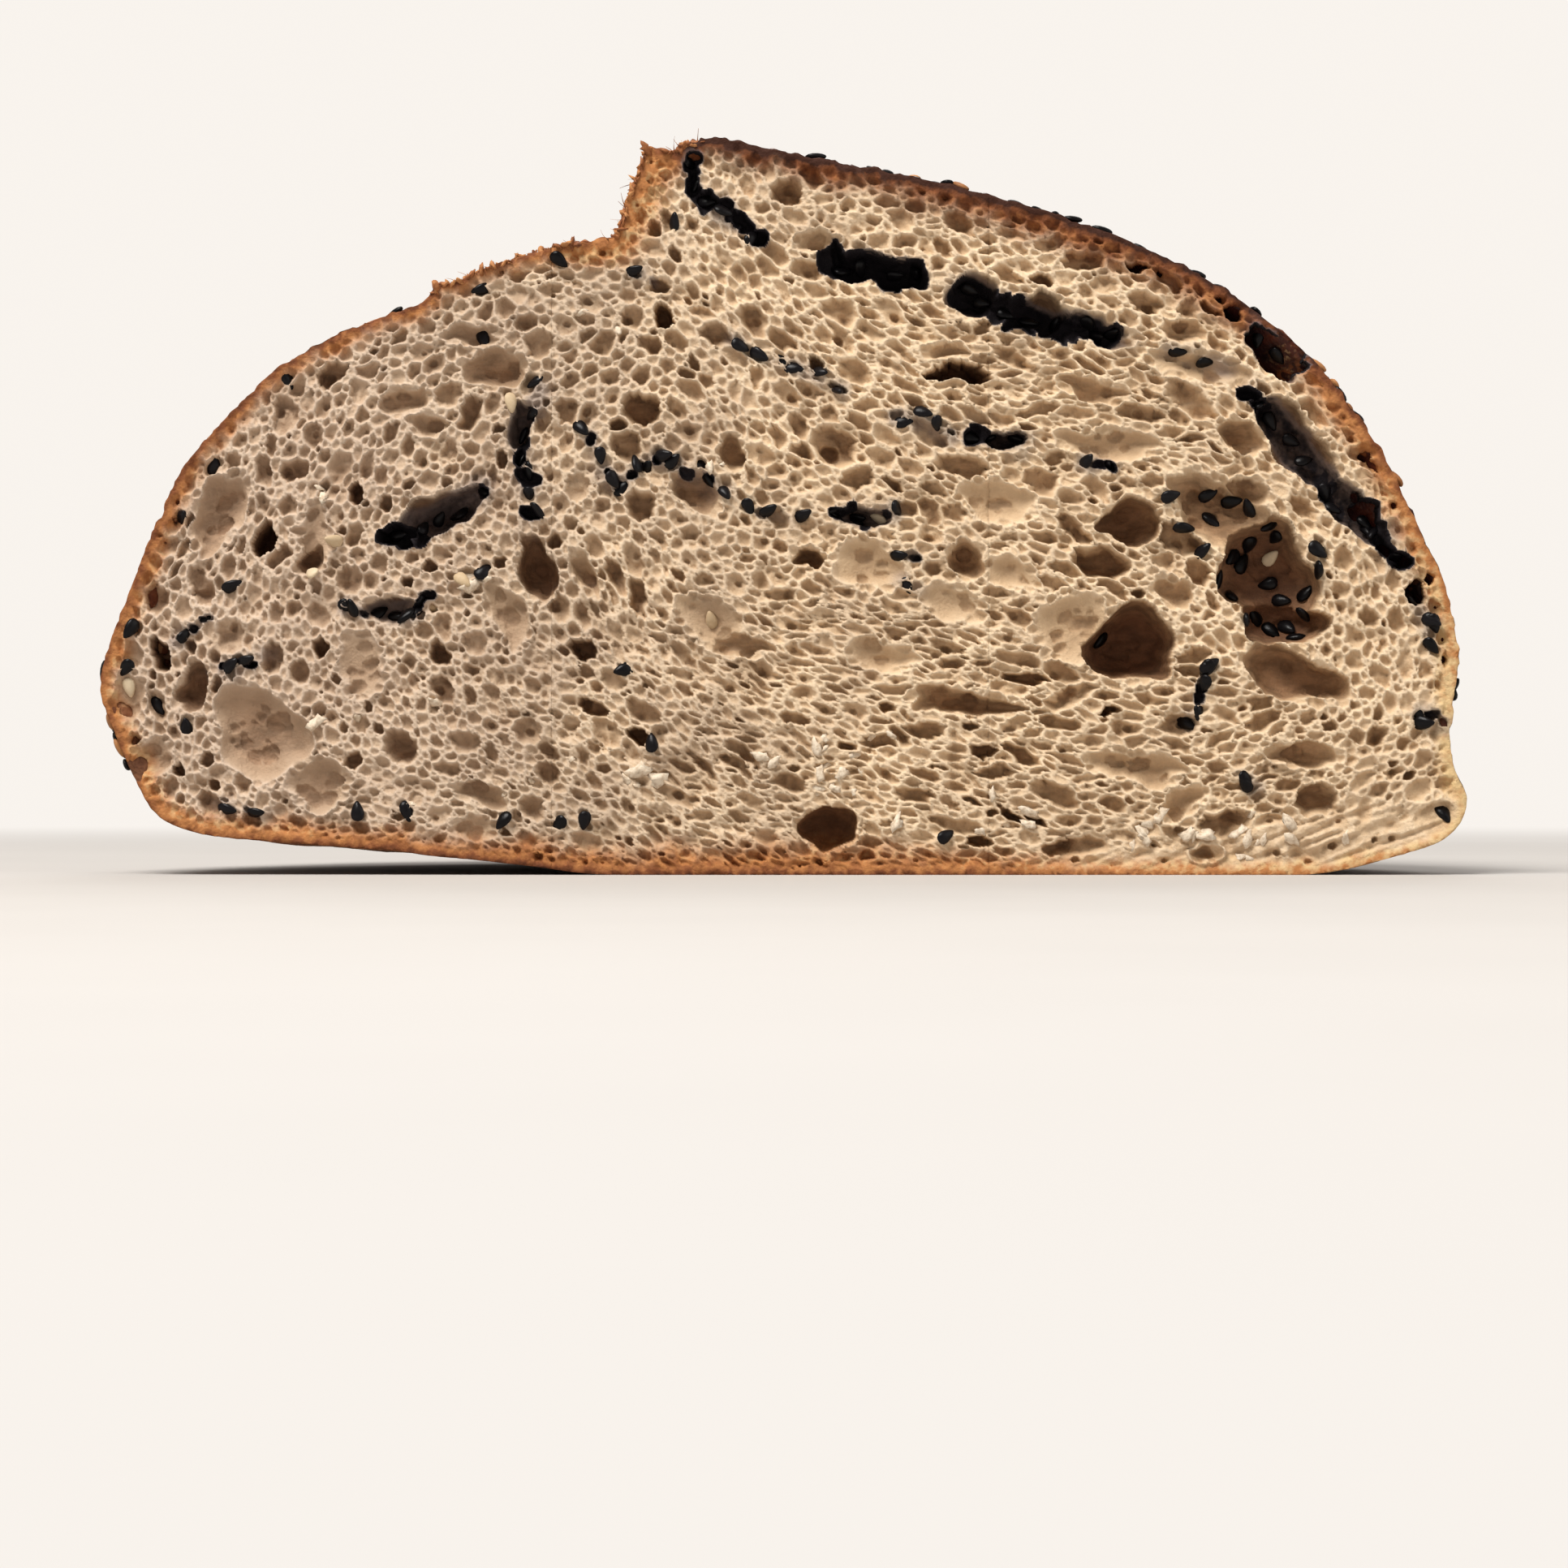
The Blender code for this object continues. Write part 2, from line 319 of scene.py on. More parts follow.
shape = bmesh.new()
bmesh.ops.create_grid(shape, x_segments=AROUND, y_segments=ROWS, size=1.0)
crust = new_object("crust", shape)
flat = read_points(crust.data)
column = np.rint((flat[:, 0] + 1) / 2 * AROUND).astype(int)
row = np.rint((flat[:, 1] + 1) / 2 * ROWS).astype(int)
write_points(crust.data, in_place(rows[row, column]))


def add_values(mesh, name, values):
    attribute = mesh.attributes.new(name, "FLOAT", "POINT")
    attribute.data.foreach_set("value", np.ascontiguousarray(values, dtype=np.float32))


skin_row = np.maximum(row - RIM_ROW, 0)
for name, values in {
    "seeded": seeded, "charred": charred, "flank": flank, "torn": torn, "pale": pale, "arc": arc,
    "web": web, "relief": relief,
}.items():
    add_values(crust.data, name, values[skin_row, column])

shape = bmesh.new()
shape.from_mesh(crust.data)
bmesh.ops.remove_doubles(shape, verts=shape.verts, dist=1e-6)
bmesh.ops.recalc_face_normals(shape, faces=shape.faces)
open_edges = sum(not edge.is_manifold for edge in shape.edges)
print("crust:", len(shape.faces), "faces, edges that aren't closed:", open_edges)

# %% [markdown]
# A loaf's skin at this grain is too much for one piece, so it is parted at the foot of the split,
# where a crease hides the joint. The parting plane runs through the two ends of the loaf.

# %% Parting the crust at the foot of the split
FOOT = 30.6
foot = outline_points(np.array([FOOT]))[0]
along_foot = foot - (END_SHIFT, WIDEST_HEIGHT)
parting = Vector((along_foot[1], 0.0, -along_foot[0])).normalized()
middle = Vector(in_place((END_SHIFT, 0.0, WIDEST_HEIGHT)))


def part_off(source, name, direction):
    """A copy of the source on one side of the parting plane, closed where it was cut."""
    side = source.copy()
    bmesh.ops.bisect_plane(
        side, geom=side.verts[:] + side.edges[:] + side.faces[:], dist=1e-6,
        plane_co=middle, plane_no=direction, clear_outer=True,
    )
    bare = [edge for edge in side.edges if edge.is_boundary]
    lid = bmesh.ops.contextual_create(side, geom=bare)["faces"]
    for face in side.faces:
        face.smooth = face not in lid
    bmesh.ops.recalc_face_normals(side, faces=side.faces)
    piece = new_object(name, side)
    print(name, "has", triangles(piece), "triangles")
    return piece


crust_seeded = part_off(shape, "crust_seeded_side", -parting)
crust_split = part_off(shape, "crust_split_side", parting)
shape.free()
bpy.data.objects.remove(crust)

# %% [markdown]
# ## The crumb
# Bread is a foam. The knife opens each bubble into a bowl, and the walls between them are left
# as a pale web in the plane of the cut. So the face is worked out as a map of depths: bubbles of
# falling size are packed by their distance to the bubbles already there, and each is pressed
# into the map as a bowl. The map then moves the points of a fine grid.

# %% The map of the cut face
STEP = 0.2
LEFT, RIGHT, LOW, HIGH = -104.0, 104.0, -3.0, 112.0
map_x, map_z = np.meshgrid(
    np.arange(LEFT, RIGHT + STEP / 2, STEP), np.arange(LOW, HIGH + STEP / 2, STEP)
)


def window(x, z, reach):
    """The part of the map within reach of a place, as two slices."""
    first_x = max(int((x - reach - LEFT) / STEP), 0)
    first_z = max(int((z - reach - LOW) / STEP), 0)
    last_x = max(int((x + reach - LEFT) / STEP) + 2, 0)
    last_z = max(int((z + reach - LOW) / STEP) + 2, 0)
    return slice(first_z, last_z), slice(first_x, last_x)


def distance_map(line, reach):
    """How far each place of the map is from a row of points, up to reach."""
    found = np.full(map_x.shape, float(reach))
    for x, z in line:
        part = window(x, z, reach)
        found[part] = np.minimum(found[part], np.hypot(map_x[part] - x, map_z[part] - z))
    return found


def filled_line(points, spacing=0.25):
    """Extra points between the corners of a line."""
    corners = np.asarray(points, float)
    run = np.concatenate(([0.0], np.cumsum(np.hypot(*np.diff(corners, axis=0).T))))
    at = np.linspace(0, run[-1], max(int(run[-1] / spacing), 1) + 1)
    return np.column_stack((np.interp(at, run, corners[:, 0]), np.interp(at, run, corners[:, 1])))


around = np.arctan2(rim[:, 1] - CENTRE[1], rim[:, 0] - CENTRE[0])
turned = np.argsort(around)
map_angle = np.arctan2(map_z - CENTRE[1], map_x - CENTRE[0])
rim_radius = np.interp(
    map_angle, around[turned], np.hypot(*(rim - CENTRE).T)[turned], period=2 * math.pi
)
inside = np.hypot(map_x - CENTRE[0], map_z - CENTRE[1]) < rim_radius
to_rim = distance_map(rim, 14.0) * np.where(inside, 1, -1)
print("cut face:", round(inside.sum() * STEP ** 2 / 100), "square centimetres")

# %% [markdown]
# As the dough rose it stretched its bubbles along its own flow. These places on the cut say
# which way the bubbles lean there, as degrees that fall to the right, how long they are for
# their height, and how big they are.

# %% How the bubbles lean
FLOW = [
    (10, 98, 8, 1.3, 0.8), (42, 90, 16, 1.5, 0.8), (62, 80, 30, 1.6, 0.9), (76, 68, 46, 1.6, 0.9),
    (88, 50, 60, 1.5, 0.9), (93, 30, 84, 1.3, 0.8), (86, 14, 150, 1.4, 0.8), (-17, 99, 70, 1.2, 0.6),
    (-8, 86, 52, 1.6, 0.8), (2, 80, 40, 1.9, 0.9), (14, 78, 22, 2.0, 1.0), (28, 76, 10, 2.1, 1.1),
    (45, 72, 6, 2.1, 1.1), (60, 66, 18, 1.9, 1.1), (-6, 70, 48, 1.5, 0.9), (8, 62, 30, 1.4, 0.9),
    (26, 60, 26, 1.7, 1.1), (45, 56, 14, 1.6, 1.1), (64, 44, 40, 1.4, 1.0), (20, 48, 10, 1.3, 1.0),
    (0, 48, 20, 1.2, 0.9), (6, 36, 14, 2.3, 1.1), (22, 34, 12, 2.4, 1.1), (36, 26, 14, 2.2, 1.0),
    (-6, 28, 26, 2.0, 0.75), (-22, 40, 60, 1.6, 0.8), (-16, 30, 40, 1.8, 0.7), (-8, 15, 24, 2.0, 0.65),
    (12, 12, 16, 1.9, 0.8), (32, 14, 12, 2.0, 0.9), (52, 20, 8, 2.0, 1.0), (70, 18, 170, 1.7, 0.9),
    (-36, 18, 30, 1.4, 0.6), (-55, 24, 60, 1.3, 0.65), (-70, 30, 80, 1.2, 0.9), (-50, 44, 30, 1.1, 0.7),
    (-38, 60, 100, 1.3, 0.9), (-26, 74, 150, 1.2, 1.0), (-45, 74, 140, 1.3, 1.0),
    (-65, 62, 110, 1.4, 1.0), (-82, 48, 110, 1.6, 1.0), (-88, 28, 80, 1.3, 0.8), (-30, 86, 8, 1.3, 0.8),
    (-60, 76, 150, 1.3, 0.8), (-12, 58, 30, 1.2, 0.8), (-60, 10, 5, 1.3, 0.6), (80, 30, 70, 1.2, 0.9),
]


def flow_map():
    """The lean as a doubled angle, the stretch and the size of bubbles all over the map."""
    total = np.zeros(map_x.shape)
    lean = np.zeros(map_x.shape, complex)
    size = np.zeros(map_x.shape)
    for x, z, angle, stretch, scale in FLOW:
        weight = ((map_x - x) ** 2 + (map_z - z) ** 2 + 9.0) ** -1.6
        total += weight
        lean += weight * math.log(stretch) * np.exp(-2j * math.radians(angle))
        size += weight * scale
    return np.angle(lean) / 2, np.exp(np.abs(lean / total)), size / total


flow_angle, flow_stretch, flow_size = flow_map()
print("bubbles are up to", flow_stretch.max().round(2), "times as long as high")

# %% [markdown]
# One bubble is an oval bowl. Its rim is made uneven by a few waves round it, and torn by a
# pattern that moves the places it is measured from. The steepness says how flat its floor is.

# %% Pressing a bubble into the map
depth_map = np.zeros(map_x.shape)
gap_map = np.full(map_x.shape, 30.0)
tear_x, tear_z = (
    0.05 * pattern(map_x, map_z, 0.5, number) + 0.14 * pattern(map_x, map_z, 1.1, number + 1)
    + 0.50 * pattern(map_x, map_z, 3.2, number + 2) for number in (11, 15)
)
draw = np.random.default_rng(17)
print("tears move a rim by up to", np.abs(tear_x).max().round(2), "mm")


def press_bubble(x, z, length, height, angle, depth, steepness=2.4, tear=1.0, sunk=0.0):
    """Presses one bowl of that length and height, leaning by angle, into the map of depths."""
    part = window(x, z, 0.62 * length + 2.0)
    from_x = map_x[part] + tear * tear_x[part] - x
    from_z = map_z[part] + tear * tear_z[part] - z
    along = (from_x * math.cos(angle) + from_z * math.sin(angle)) / (length / 2)
    beside = (from_z * math.cos(angle) - from_x * math.sin(angle)) / (height / 2)
    share = np.hypot(along, beside)
    bearing = np.arctan2(beside, along)
    three, five = draw.uniform(0, 2 * math.pi, 2)
    uneven = 0.06 + 0.05 * smooth_step(5.0, 10.0, length)
    waves = np.cos(3 * bearing + three) + 0.6 * np.cos(5 * bearing + five)
    share = share * (1 + uneven * waves)
    bowl = sunk + depth * np.maximum(1 - share ** steepness, 0.0) ** (1 / steepness)
    bowl[share >= 1] = 0.0
    depth_map[part] = np.maximum(depth_map[part], bowl)
    gap = (share - 1) * math.sqrt(length * height) / 2
    gap_map[part] = np.minimum(gap_map[part], gap)


# %% [markdown]
# The largest holes are set one by one, where this loaf has them. A lean is in degrees that rise
# to the right.

# %% The largest holes
LARGE_HOLES = [
    (50.9, 33.6, 13.2, 11.5, 0, 11, 3.4), (63.5, 53.5, 15, 9, -30, 5, 2.4),
    (71.0, 44.5, 16, 13, -45, 10, 3.4), (73.0, 37.5, 12, 8, -10, 10.5, 3.4),
    (74.7, 29.4, 17.5, 6.5, -20, 6, 3.2), (50.7, 52.0, 8, 7, 10, 7, 3.4),
    (71.7, 76.7, 9.5, 5.0, -42, 7, 3.2), (75.3, 63.3, 17.5, 7.0, -50, 7, 3.0),
    (83.6, 53.2, 13, 4.5, -58, 6, 3.0), (14.1, 88.4, 15.5, 4.4, -8, 8, 3.0),
    (27.8, 84.6, 7, 6.6, 0, 7, 2.8), (37.9, 82.3, 10, 5.5, -10, 8, 3.0),
    (45.6, 79.9, 12, 4.2, -12, 4, 2.4), (31.3, 54.4, 11, 6, -15, 2.2, 2.2),
    (48.0, 62.9, 15, 4.5, -6, 2.4, 2.2), (12.3, 45.5, 9.5, 7, -20, 2.2, 2.2),
    (-36.3, 44.9, 9.5, 5, -75, 7, 3.0), (-40.5, 38.0, 11, 5, -62, 2.0, 2.2),
    (-50.0, 53.0, 13, 5.5, 22, 8, 3.0), (-42.3, 74.0, 9, 5.5, 10, 3.5, 2.8),
    (-82.6, 53.2, 13, 6.5, 62, 3.2, 2.4), (-76.7, 20.5, 15, 12, -50, 3.2, 2.4),
    (-67.8, 13.4, 8.5, 7, 0, 2.4, 2.4), (6.4, 6.8, 8.2, 6, 0, 8, 4.5),
    (26.0, 25.3, 16, 4, -6, 4.5, 2.6), (52.0, 15.8, 15, 4.5, -10, 2.5, 2.2),
    (42.0, 36.5, 11, 10, 20, 2.2, 2.0), (45.0, 71.2, 10, 3.5, -10, 3.0, 2.6),
    (-13.2, 56.1, 7, 5.5, -40, 4.0, 2.8), (11.8, 52.6, 8, 3.2, 0, 6, 3.0),
    (-86.8, 27.7, 7, 4, 75, 5, 3.0), (-6.6, 33.4, 9, 3.5, -8, 3.0, 2.6),
    (14.1, 32, 10, 4, -12, 2.0, 2.4), (76.4, 17.6, 10, 3.2, -8, 3.5, 2.8),
    (5.2, 92.6, 6.5, 3, 0, 2.5, 2.6), (60.4, 74.5, 14, 4.5, -14, 2.5, 2.2),
    (23.6, 76.7, 6, 2, 0, 2.5, 2.6), (66.9, 64.5, 7, 4.5, -35, 4.0, 2.8),
    (32.5, 63.5, 6.5, 3, 0, 7, 3.0), (-7.8, 62, 3, 5, 0, 4, 2.8), (3.8, 46.6, 4.5, 3, 0, 5, 3.4),
    (26.6, 46.3, 5.4, 5.2, 0, 4.5, 2.6), (-29.2, 43.7, 7, 3, -65, 3, 2.6),
    (-38.7, 66.2, 7, 3.5, 80, 6, 2.8), (-55.3, 69.6, 7, 4, 10, 3.0, 2.6),
    (-52, 66, 5, 3, 0, 2.5, 2.6), (-45.8, 79, 8, 3, 0, 2.5, 2.6), (-95.7, 25.9, 8, 4, 88, 2.0, 2.2),
    (-92.7, 17, 7, 5, 60, 2.0, 2.2), (-69, 46, 4, 4, 0, 4, 3.0), (-57.7, 39, 7, 3.5, 0, 4.5, 2.8),
    (24.8, 39.5, 9, 5, -18, 1.6, 2.2), (-11, 37, 10, 6, -35, 1.8, 2.2),
    (58.6, 10.4, 7, 3.5, 25, 2.5, 2.6), (-44.6, 11.6, 8, 3, -15, 2.5, 2.6),
    (-45, 6.6, 6, 3, 0, 1.5, 2.4), (62, 3.0, 4, 2, 0, 3, 2.6), (-18.5, 86.2, 3.5, 2.6, 0, 3.5, 3.0),
    (68, 56.0, 6, 4.5, -20, 4, 2.6), (33.0, 44.0, 8, 4, -15, 1.8, 2.2),
    (57.0, 41.5, 6, 4, -20, 3.0, 2.6), (-62.0, 30.5, 6, 9, 10, 1.8, 2.2),
    (-68.5, 50.0, 5, 9, 12, 1.6, 2.2),
]


def bite_rim(x, z, length, height, angle, depth):
    """Small bubbles that broke into a large one, round its rim and in its floor."""
    for turn in np.arange(0, 2 * math.pi, 3.4 / (length + height)):
        turn += draw.normal(0, 0.2)
        out = draw.uniform(0.86, 1.06)
        along = math.cos(turn) * length / 2 * out
        beside = math.sin(turn) * height / 2 * out
        size = draw.uniform(0.5, 1.5)
        at_x = x + along * math.cos(angle) - beside * math.sin(angle)
        at_z = z + along * math.sin(angle) + beside * math.cos(angle)
        wide = size * draw.uniform(1.0, 1.8)
        press_bubble(at_x, at_z, wide, size, angle, size * draw.uniform(0.5, 1.0), 2.2)
    for _ in range(int(length * height / 9)):
        out, turn = math.sqrt(draw.random()) * 0.7, draw.uniform(0, 2 * math.pi)
        along, beside = out * math.cos(turn) * length / 2, out * math.sin(turn) * height / 2
        at_x = x + along * math.cos(angle) - beside * math.sin(angle)
        at_z = z + along * math.sin(angle) + beside * math.cos(angle)
        size = draw.uniform(0.7, 2.2)
        floor_here = depth * math.sqrt(1 - out ** 2)
        press_bubble(at_x, at_z, 1.3 * size, size, angle, 0.35 * size, 2.2, 1.0, floor_here)


for x, z, length, height, angle, depth, steepness in LARGE_HOLES:
    press_bubble(x, z, length, height, math.radians(angle), depth, 0.5 + 0.6 * steepness, 1.5)
    bite_rim(x, z, length, height, math.radians(angle), depth)
print(len(LARGE_HOLES), "large holes")

# %% [markdown]
# Black sesame was folded into this dough. Where the folds met, the seeds lie in seams: thin dark
# gaps whose walls they have stained grey. The same map also marks the deep seam gaps and the deep
# holes beside a seam, where the crumb is painted near black as shade.

# %% The seams of black sesame
SEAMS = [
    ([(-13.8, 104.2), (-12.3, 99.5), (-9, 96.9), (-6.1, 94.7), (-3.1, 92.9)], 1.4, 3.0, 0.9),
    ([(8, 89.6), (14, 88.6), (20.0, 87.4)], 2.3, 6.0, 0.95),
    ([(26.5, 85.6), (32, 82.8), (38.0, 80.9)], 2.7, 6.0, 0.95),
    ([(40.5, 80.2), (46.4, 79.3), (50, 78.9)], 1.7, 5.0, 0.85),
    ([(56.3, 76.7), (60.4, 76.7), (64.6, 73.9)], 0.8, 1.6, 0.4),
    ([(68.7, 79.3), (75.3, 74.5)], 1.6, 4.0, 0.8),
    ([(69.3, 70.4), (75.3, 62.7), (80, 56.7), (82.4, 54.4), (87.1, 50.8), (90.4, 44.5)], 2.0, 5.0, 0.75),
    ([(92.5, 40.1), (94.4, 37.2), (94.6, 33.6)], 0.8, 1.5, 0.3),
    ([(-7.2, 78.1), (-0.7, 75.1), (6.4, 72.2), (8.2, 71.2)], 0.6, 1.0, 0.15),
    ([(16.5, 66.8), (20.7, 66.2), (24.8, 63.9)], 0.8, 1.5, 0.25),
    ([(27.5, 64.5), (31.5, 63.8), (35, 63.0)], 1.6, 3.0, 0.7),
    ([(43.6, 60.7), (45.6, 60.1), (48.5, 59.9)], 0.8, 1.8, 0.3),
    ([(-35.7, 71.0), (-38.2, 66.2), (-38.5, 61.5), (-37.4, 56.7), (-36.9, 52)], 1.5, 3.5, 0.6),
    ([(-57.7, 49), (-52.5, 51.5), (-47.6, 53.6), (-44.0, 56.6)], 1.8, 5.0, 0.6),
    ([(-28.6, 65), (-26.8, 59.7), (-23.9, 56.7), (-21.5, 60.3), (-17.9, 60.9), (-15, 59.7),
       (-12, 58.5), (-8.4, 55.8), (-4, 53.4), (-0.1, 52), (4, 53.2)], 0.8, 1.8, 0.25),
    ([(8.0, 53.0), (11.2, 52.6), (16.1, 52.9)], 1.5, 3.0, 0.6),
    ([(16.5, 46.6), (20, 46)], 0.9, 1.5, 0.3), ([(17.7, 43.1), (20.5, 42.0)], 0.9, 1.5, 0.3),
    ([(-89, 34.5), (-85.6, 37), (-82.0, 39.4)], 0.7, 1.6, 0.6),
    ([(-82.5, 30.0), (-79, 30.6), (-76.0, 32.0)], 1.2, 2.5, 0.4),
    ([(-64.0, 39.2), (-60, 38.0), (-55.3, 37.7), (-51.6, 41.3)], 0.7, 2.0, 0.5),
    ([(61.6, 30.8), (61.0, 27.0), (59.4, 22.3)], 0.9, 1.6, 0.3),
    ([(66.6, 14.4), (68.4, 12.6)], 0.9, 2.0, 0.4), ([(-82.0, 10.3), (-76, 9.2)], 0.6, 1.2, 0.3),
    ([(93.2, 23.4), (96.4, 21.6)], 0.8, 1.5, 0.4), ([(-23.3, 88.6), (-21.0, 87.6)], 0.9, 2.0, 0.5),
]
# This map holds the grey stain round each seam and painted shade in the deep seam gaps.
stain_and_gap_shade_map = np.zeros(map_x.shape)
patches = 0.6 + 0.5 * pattern(map_x, map_z, 3.5, 21) + 0.3 * pattern(map_x, map_z, 1.2, 22)
before_seams = depth_map.copy()
for line, width, depth, open_share in SEAMS:
    path = filled_line(line, 0.9)
    for (x, z), (next_x, next_z) in zip(path, path[1:]):
        if draw.random() > open_share:
            continue
        x, z = draw.normal((x, z), 0.25 * width)
        angle = math.atan2(next_z - z, next_x - x) + draw.normal(0, 0.35)
        length = width * draw.uniform(0.8, 2.0) + 0.5
        height = width * draw.uniform(0.6, 1.7) + 0.3
        press_bubble(x, z, length, height, angle, depth * draw.uniform(0.6, 1.3), 3.0, 1.5)
    away = distance_map(filled_line(line), 7.0) + 0.8 * tear_z
    reach = 1.3 + 0.7 * width
    halo = 0.5 * np.exp(-np.maximum(away / reach, 0.0) ** 1.6) * np.clip(patches, 0.0, 1.0)
    pocket = open_share * smooth_step(1.5, 3.5, before_seams) * (1 - smooth_step(1.6, 3.4, away))
    stain_and_gap_shade_map = np.maximum(stain_and_gap_shade_map, np.maximum(halo, pocket))
# The deep seam gaps join the map at full strength. With the deep holes beside a seam, this part is
# painted shade.
seam_depth = np.where(depth_map > before_seams, depth_map, 0.0)
stain_and_gap_shade_map = np.maximum(stain_and_gap_shade_map, smooth_step(0.3, 2.2, seam_depth))
for axis in (0, 1):
    beside = np.maximum(np.roll(stain_and_gap_shade_map, 1, axis), np.roll(stain_and_gap_shade_map, -1, axis))
    stain_and_gap_shade_map = np.maximum(stain_and_gap_shade_map, beside)
stain_and_shade_share = float((stain_and_gap_shade_map[inside] > 0.3).mean())
print(len(SEAMS), "seams stain", round(100 * stain_and_shade_share, 1), "percent of the cut")

# %% [markdown]
# The foam itself comes last. Each size of bubble is dropped on places drawn at random, wherever
# the bubbles already there leave it room. Every point of the cut then belongs to the bubble that
# is nearest for its size, so the bubbles grow until they meet, and the places where two are
# equally near are the thin walls between them.

# %% Packing the foam
RADII = [
    (3.1, 9), (2.5, 40), (2.0, 130), (1.55, 380), (1.2, 680), (0.92, 1250), (0.72, 1700),
    (0.56, 3000), (0.44, 4500), (0.36, 3000),
]
dark_zone = smooth_step(-0.1, 0.7, pattern(map_x, map_z, 9.0, 23))
hole_gap = gap_map.copy()
gap_map = np.minimum(gap_map, to_rim - 0.6)
nearest = np.full(map_x.shape, 4.0)
second = nearest.copy()
near_size, second_size = np.ones((2, *map_x.shape))
cell_depth = np.zeros(map_x.shape)


def place_cell(x, z, mean, stretch, angle, depth):
    """Notes a bubble on the maps of the nearest and the second nearest one."""
    part = window(x, z, 1.9 * mean * math.sqrt(stretch) + 0.4)
    tear = min(1.0, 0.7 * mean)
    from_x = map_x[part] + tear * tear_x[part] - x
    from_z = map_z[part] + tear * tear_z[part] - z
    along = (from_x * math.cos(angle) + from_z * math.sin(angle)) / math.sqrt(stretch)
    beside = (from_z * math.cos(angle) - from_x * math.sin(angle)) * math.sqrt(stretch)
    share = np.hypot(along, beside) / mean
    first, first_size = nearest[part], near_size[part]
    closer = share < first
    behind = ~closer & (share < second[part])
    second[part] = np.where(closer, first, np.where(behind, share, second[part]))
    second_size[part] = np.where(closer, first_size, np.where(behind, mean, second_size[part]))
    nearest[part] = np.where(closer, share, first)
    near_size[part] = np.where(closer, mean, first_size)
    cell_depth[part] = np.where(closer, depth, cell_depth[part])
    gap_map[part] = np.minimum(gap_map[part], (share - 1) * mean)


openings = []
placed = 0
for radius, most in RADII:
    size_here = radius * (0.3 + 0.7 * flow_size)
    candidates = np.flatnonzero((gap_map > 0.75 * size_here) & inside)
    candidates = draw.permutation(candidates)[:7 * most]
    made = 0
    for index in candidates:
        place = np.unravel_index(index, map_x.shape)
        mean = size_here[place] * draw.uniform(0.8, 1.15)
        if gap_map[place] < mean * draw.uniform(0.7, 0.95):
            continue
        stretch = 1 + (flow_stretch[place] ** 1.45 - 1) * draw.uniform(0.5, 1.5)
        angle = flow_angle[place] + draw.normal(0.0, 0.2)
        deep = draw.random() < 0.03 + 0.10 * dark_zone[place]
        depth = mean ** 1.3 * (draw.uniform(1.8, 3.2) if deep else draw.uniform(0.45, 1.25))
        x = map_x[place] + draw.uniform(-STEP, STEP) / 2
        z = map_z[place] + draw.uniform(-STEP, STEP) / 2
        place_cell(x, z, mean, stretch, angle, depth)
        if mean > 0.85 and draw.random() < 0.45:
            off_x, off_z = draw.uniform(-0.35, 0.35, 2) * mean
            openings.append((x + off_x, z + off_z, mean * draw.uniform(0.35, 0.8), angle, depth))
        made += 1
        if made == most:
            break
    placed += made
    print("bubbles of radius", radius, "mm:", made)
print("foam:", placed, "bubbles")

# %% [markdown]
# Now the walls become depths. The floor of a bubble falls away from its walls, some walls sink
# behind the cut where the knife tore them, and at the lower right the knife dragged the crumb
# so that its bubbles are smeared shut. Some bubbles open into a smaller and deeper one.

# %% From the walls to depths
WALL = 0.12
wall_gap = (second - nearest) / (1 / near_size + 1 / second_size)
half_wall = WALL * (1 + 0.8 * pattern(map_x, map_z, 2.6, 24))
half_wall += 0.25 * (1 - smooth_step(0.6, 2.2, to_rim))
from_wall = np.maximum(wall_gap - half_wall, 0.0) / (0.62 * near_size)
bowl_shape = 1 - np.maximum(1 - from_wall, 0.0) ** 2.2
sunken = smooth_step(0.1, 0.9, pattern(map_x, map_z, 2.0, 25) + 0.5 * pattern(map_x, map_z, 5.0, 26))
rough_floor = 0.3 * smooth_step(0.5, 1.2, near_size) * pattern(map_x, map_z, 0.8, 27)
dragged = smooth_step(0.0, 5.0, 6.0 + 0.12 * (map_x - 40) - map_z + 2.5 * pattern(map_x, map_z, 8.0, 28))
dragged *= smooth_step(28.0, 50.0, map_x)
drag_streaks = pattern(map_x - 1.5 * map_z, 4.0 * map_z - 1.4 * map_x, 2.6, 29)
foam = cell_depth * bowl_shape * (1 - 0.85 * dragged) + 0.7 * sunken + bowl_shape * rough_floor
foam += dragged * (0.45 + 0.45 * drag_streaks)
foam = np.maximum(foam, 0.0) * smooth_step(0.05, 0.4, hole_gap) * smooth_step(0.2, 2.4, to_rim)
depth_map = np.maximum(depth_map, foam)
for x, z, size, angle, floor_here in openings:
    if hole_gap[int((z - LOW) / STEP), int((x - LEFT) / STEP)] > 0.5:
        press_bubble(x, z, 1.4 * size, size, angle, 1.3 * size, 2.0, 0.5, 0.7 * floor_here)
print("walls take", round(float((from_wall[inside] == 0).mean() * 100)), "percent of the cut")

# %% [markdown]
# The knife doesn't leave a perfect plane: the web of walls is slightly uneven and drags in
# places. The map then moves the front of three blocks. Each block keeps most of its triangles
# at the rims of the bubbles, because Decimate takes them away first where the form is smooth,
# and a Boolean with the plug trims it to the rim of the crust.

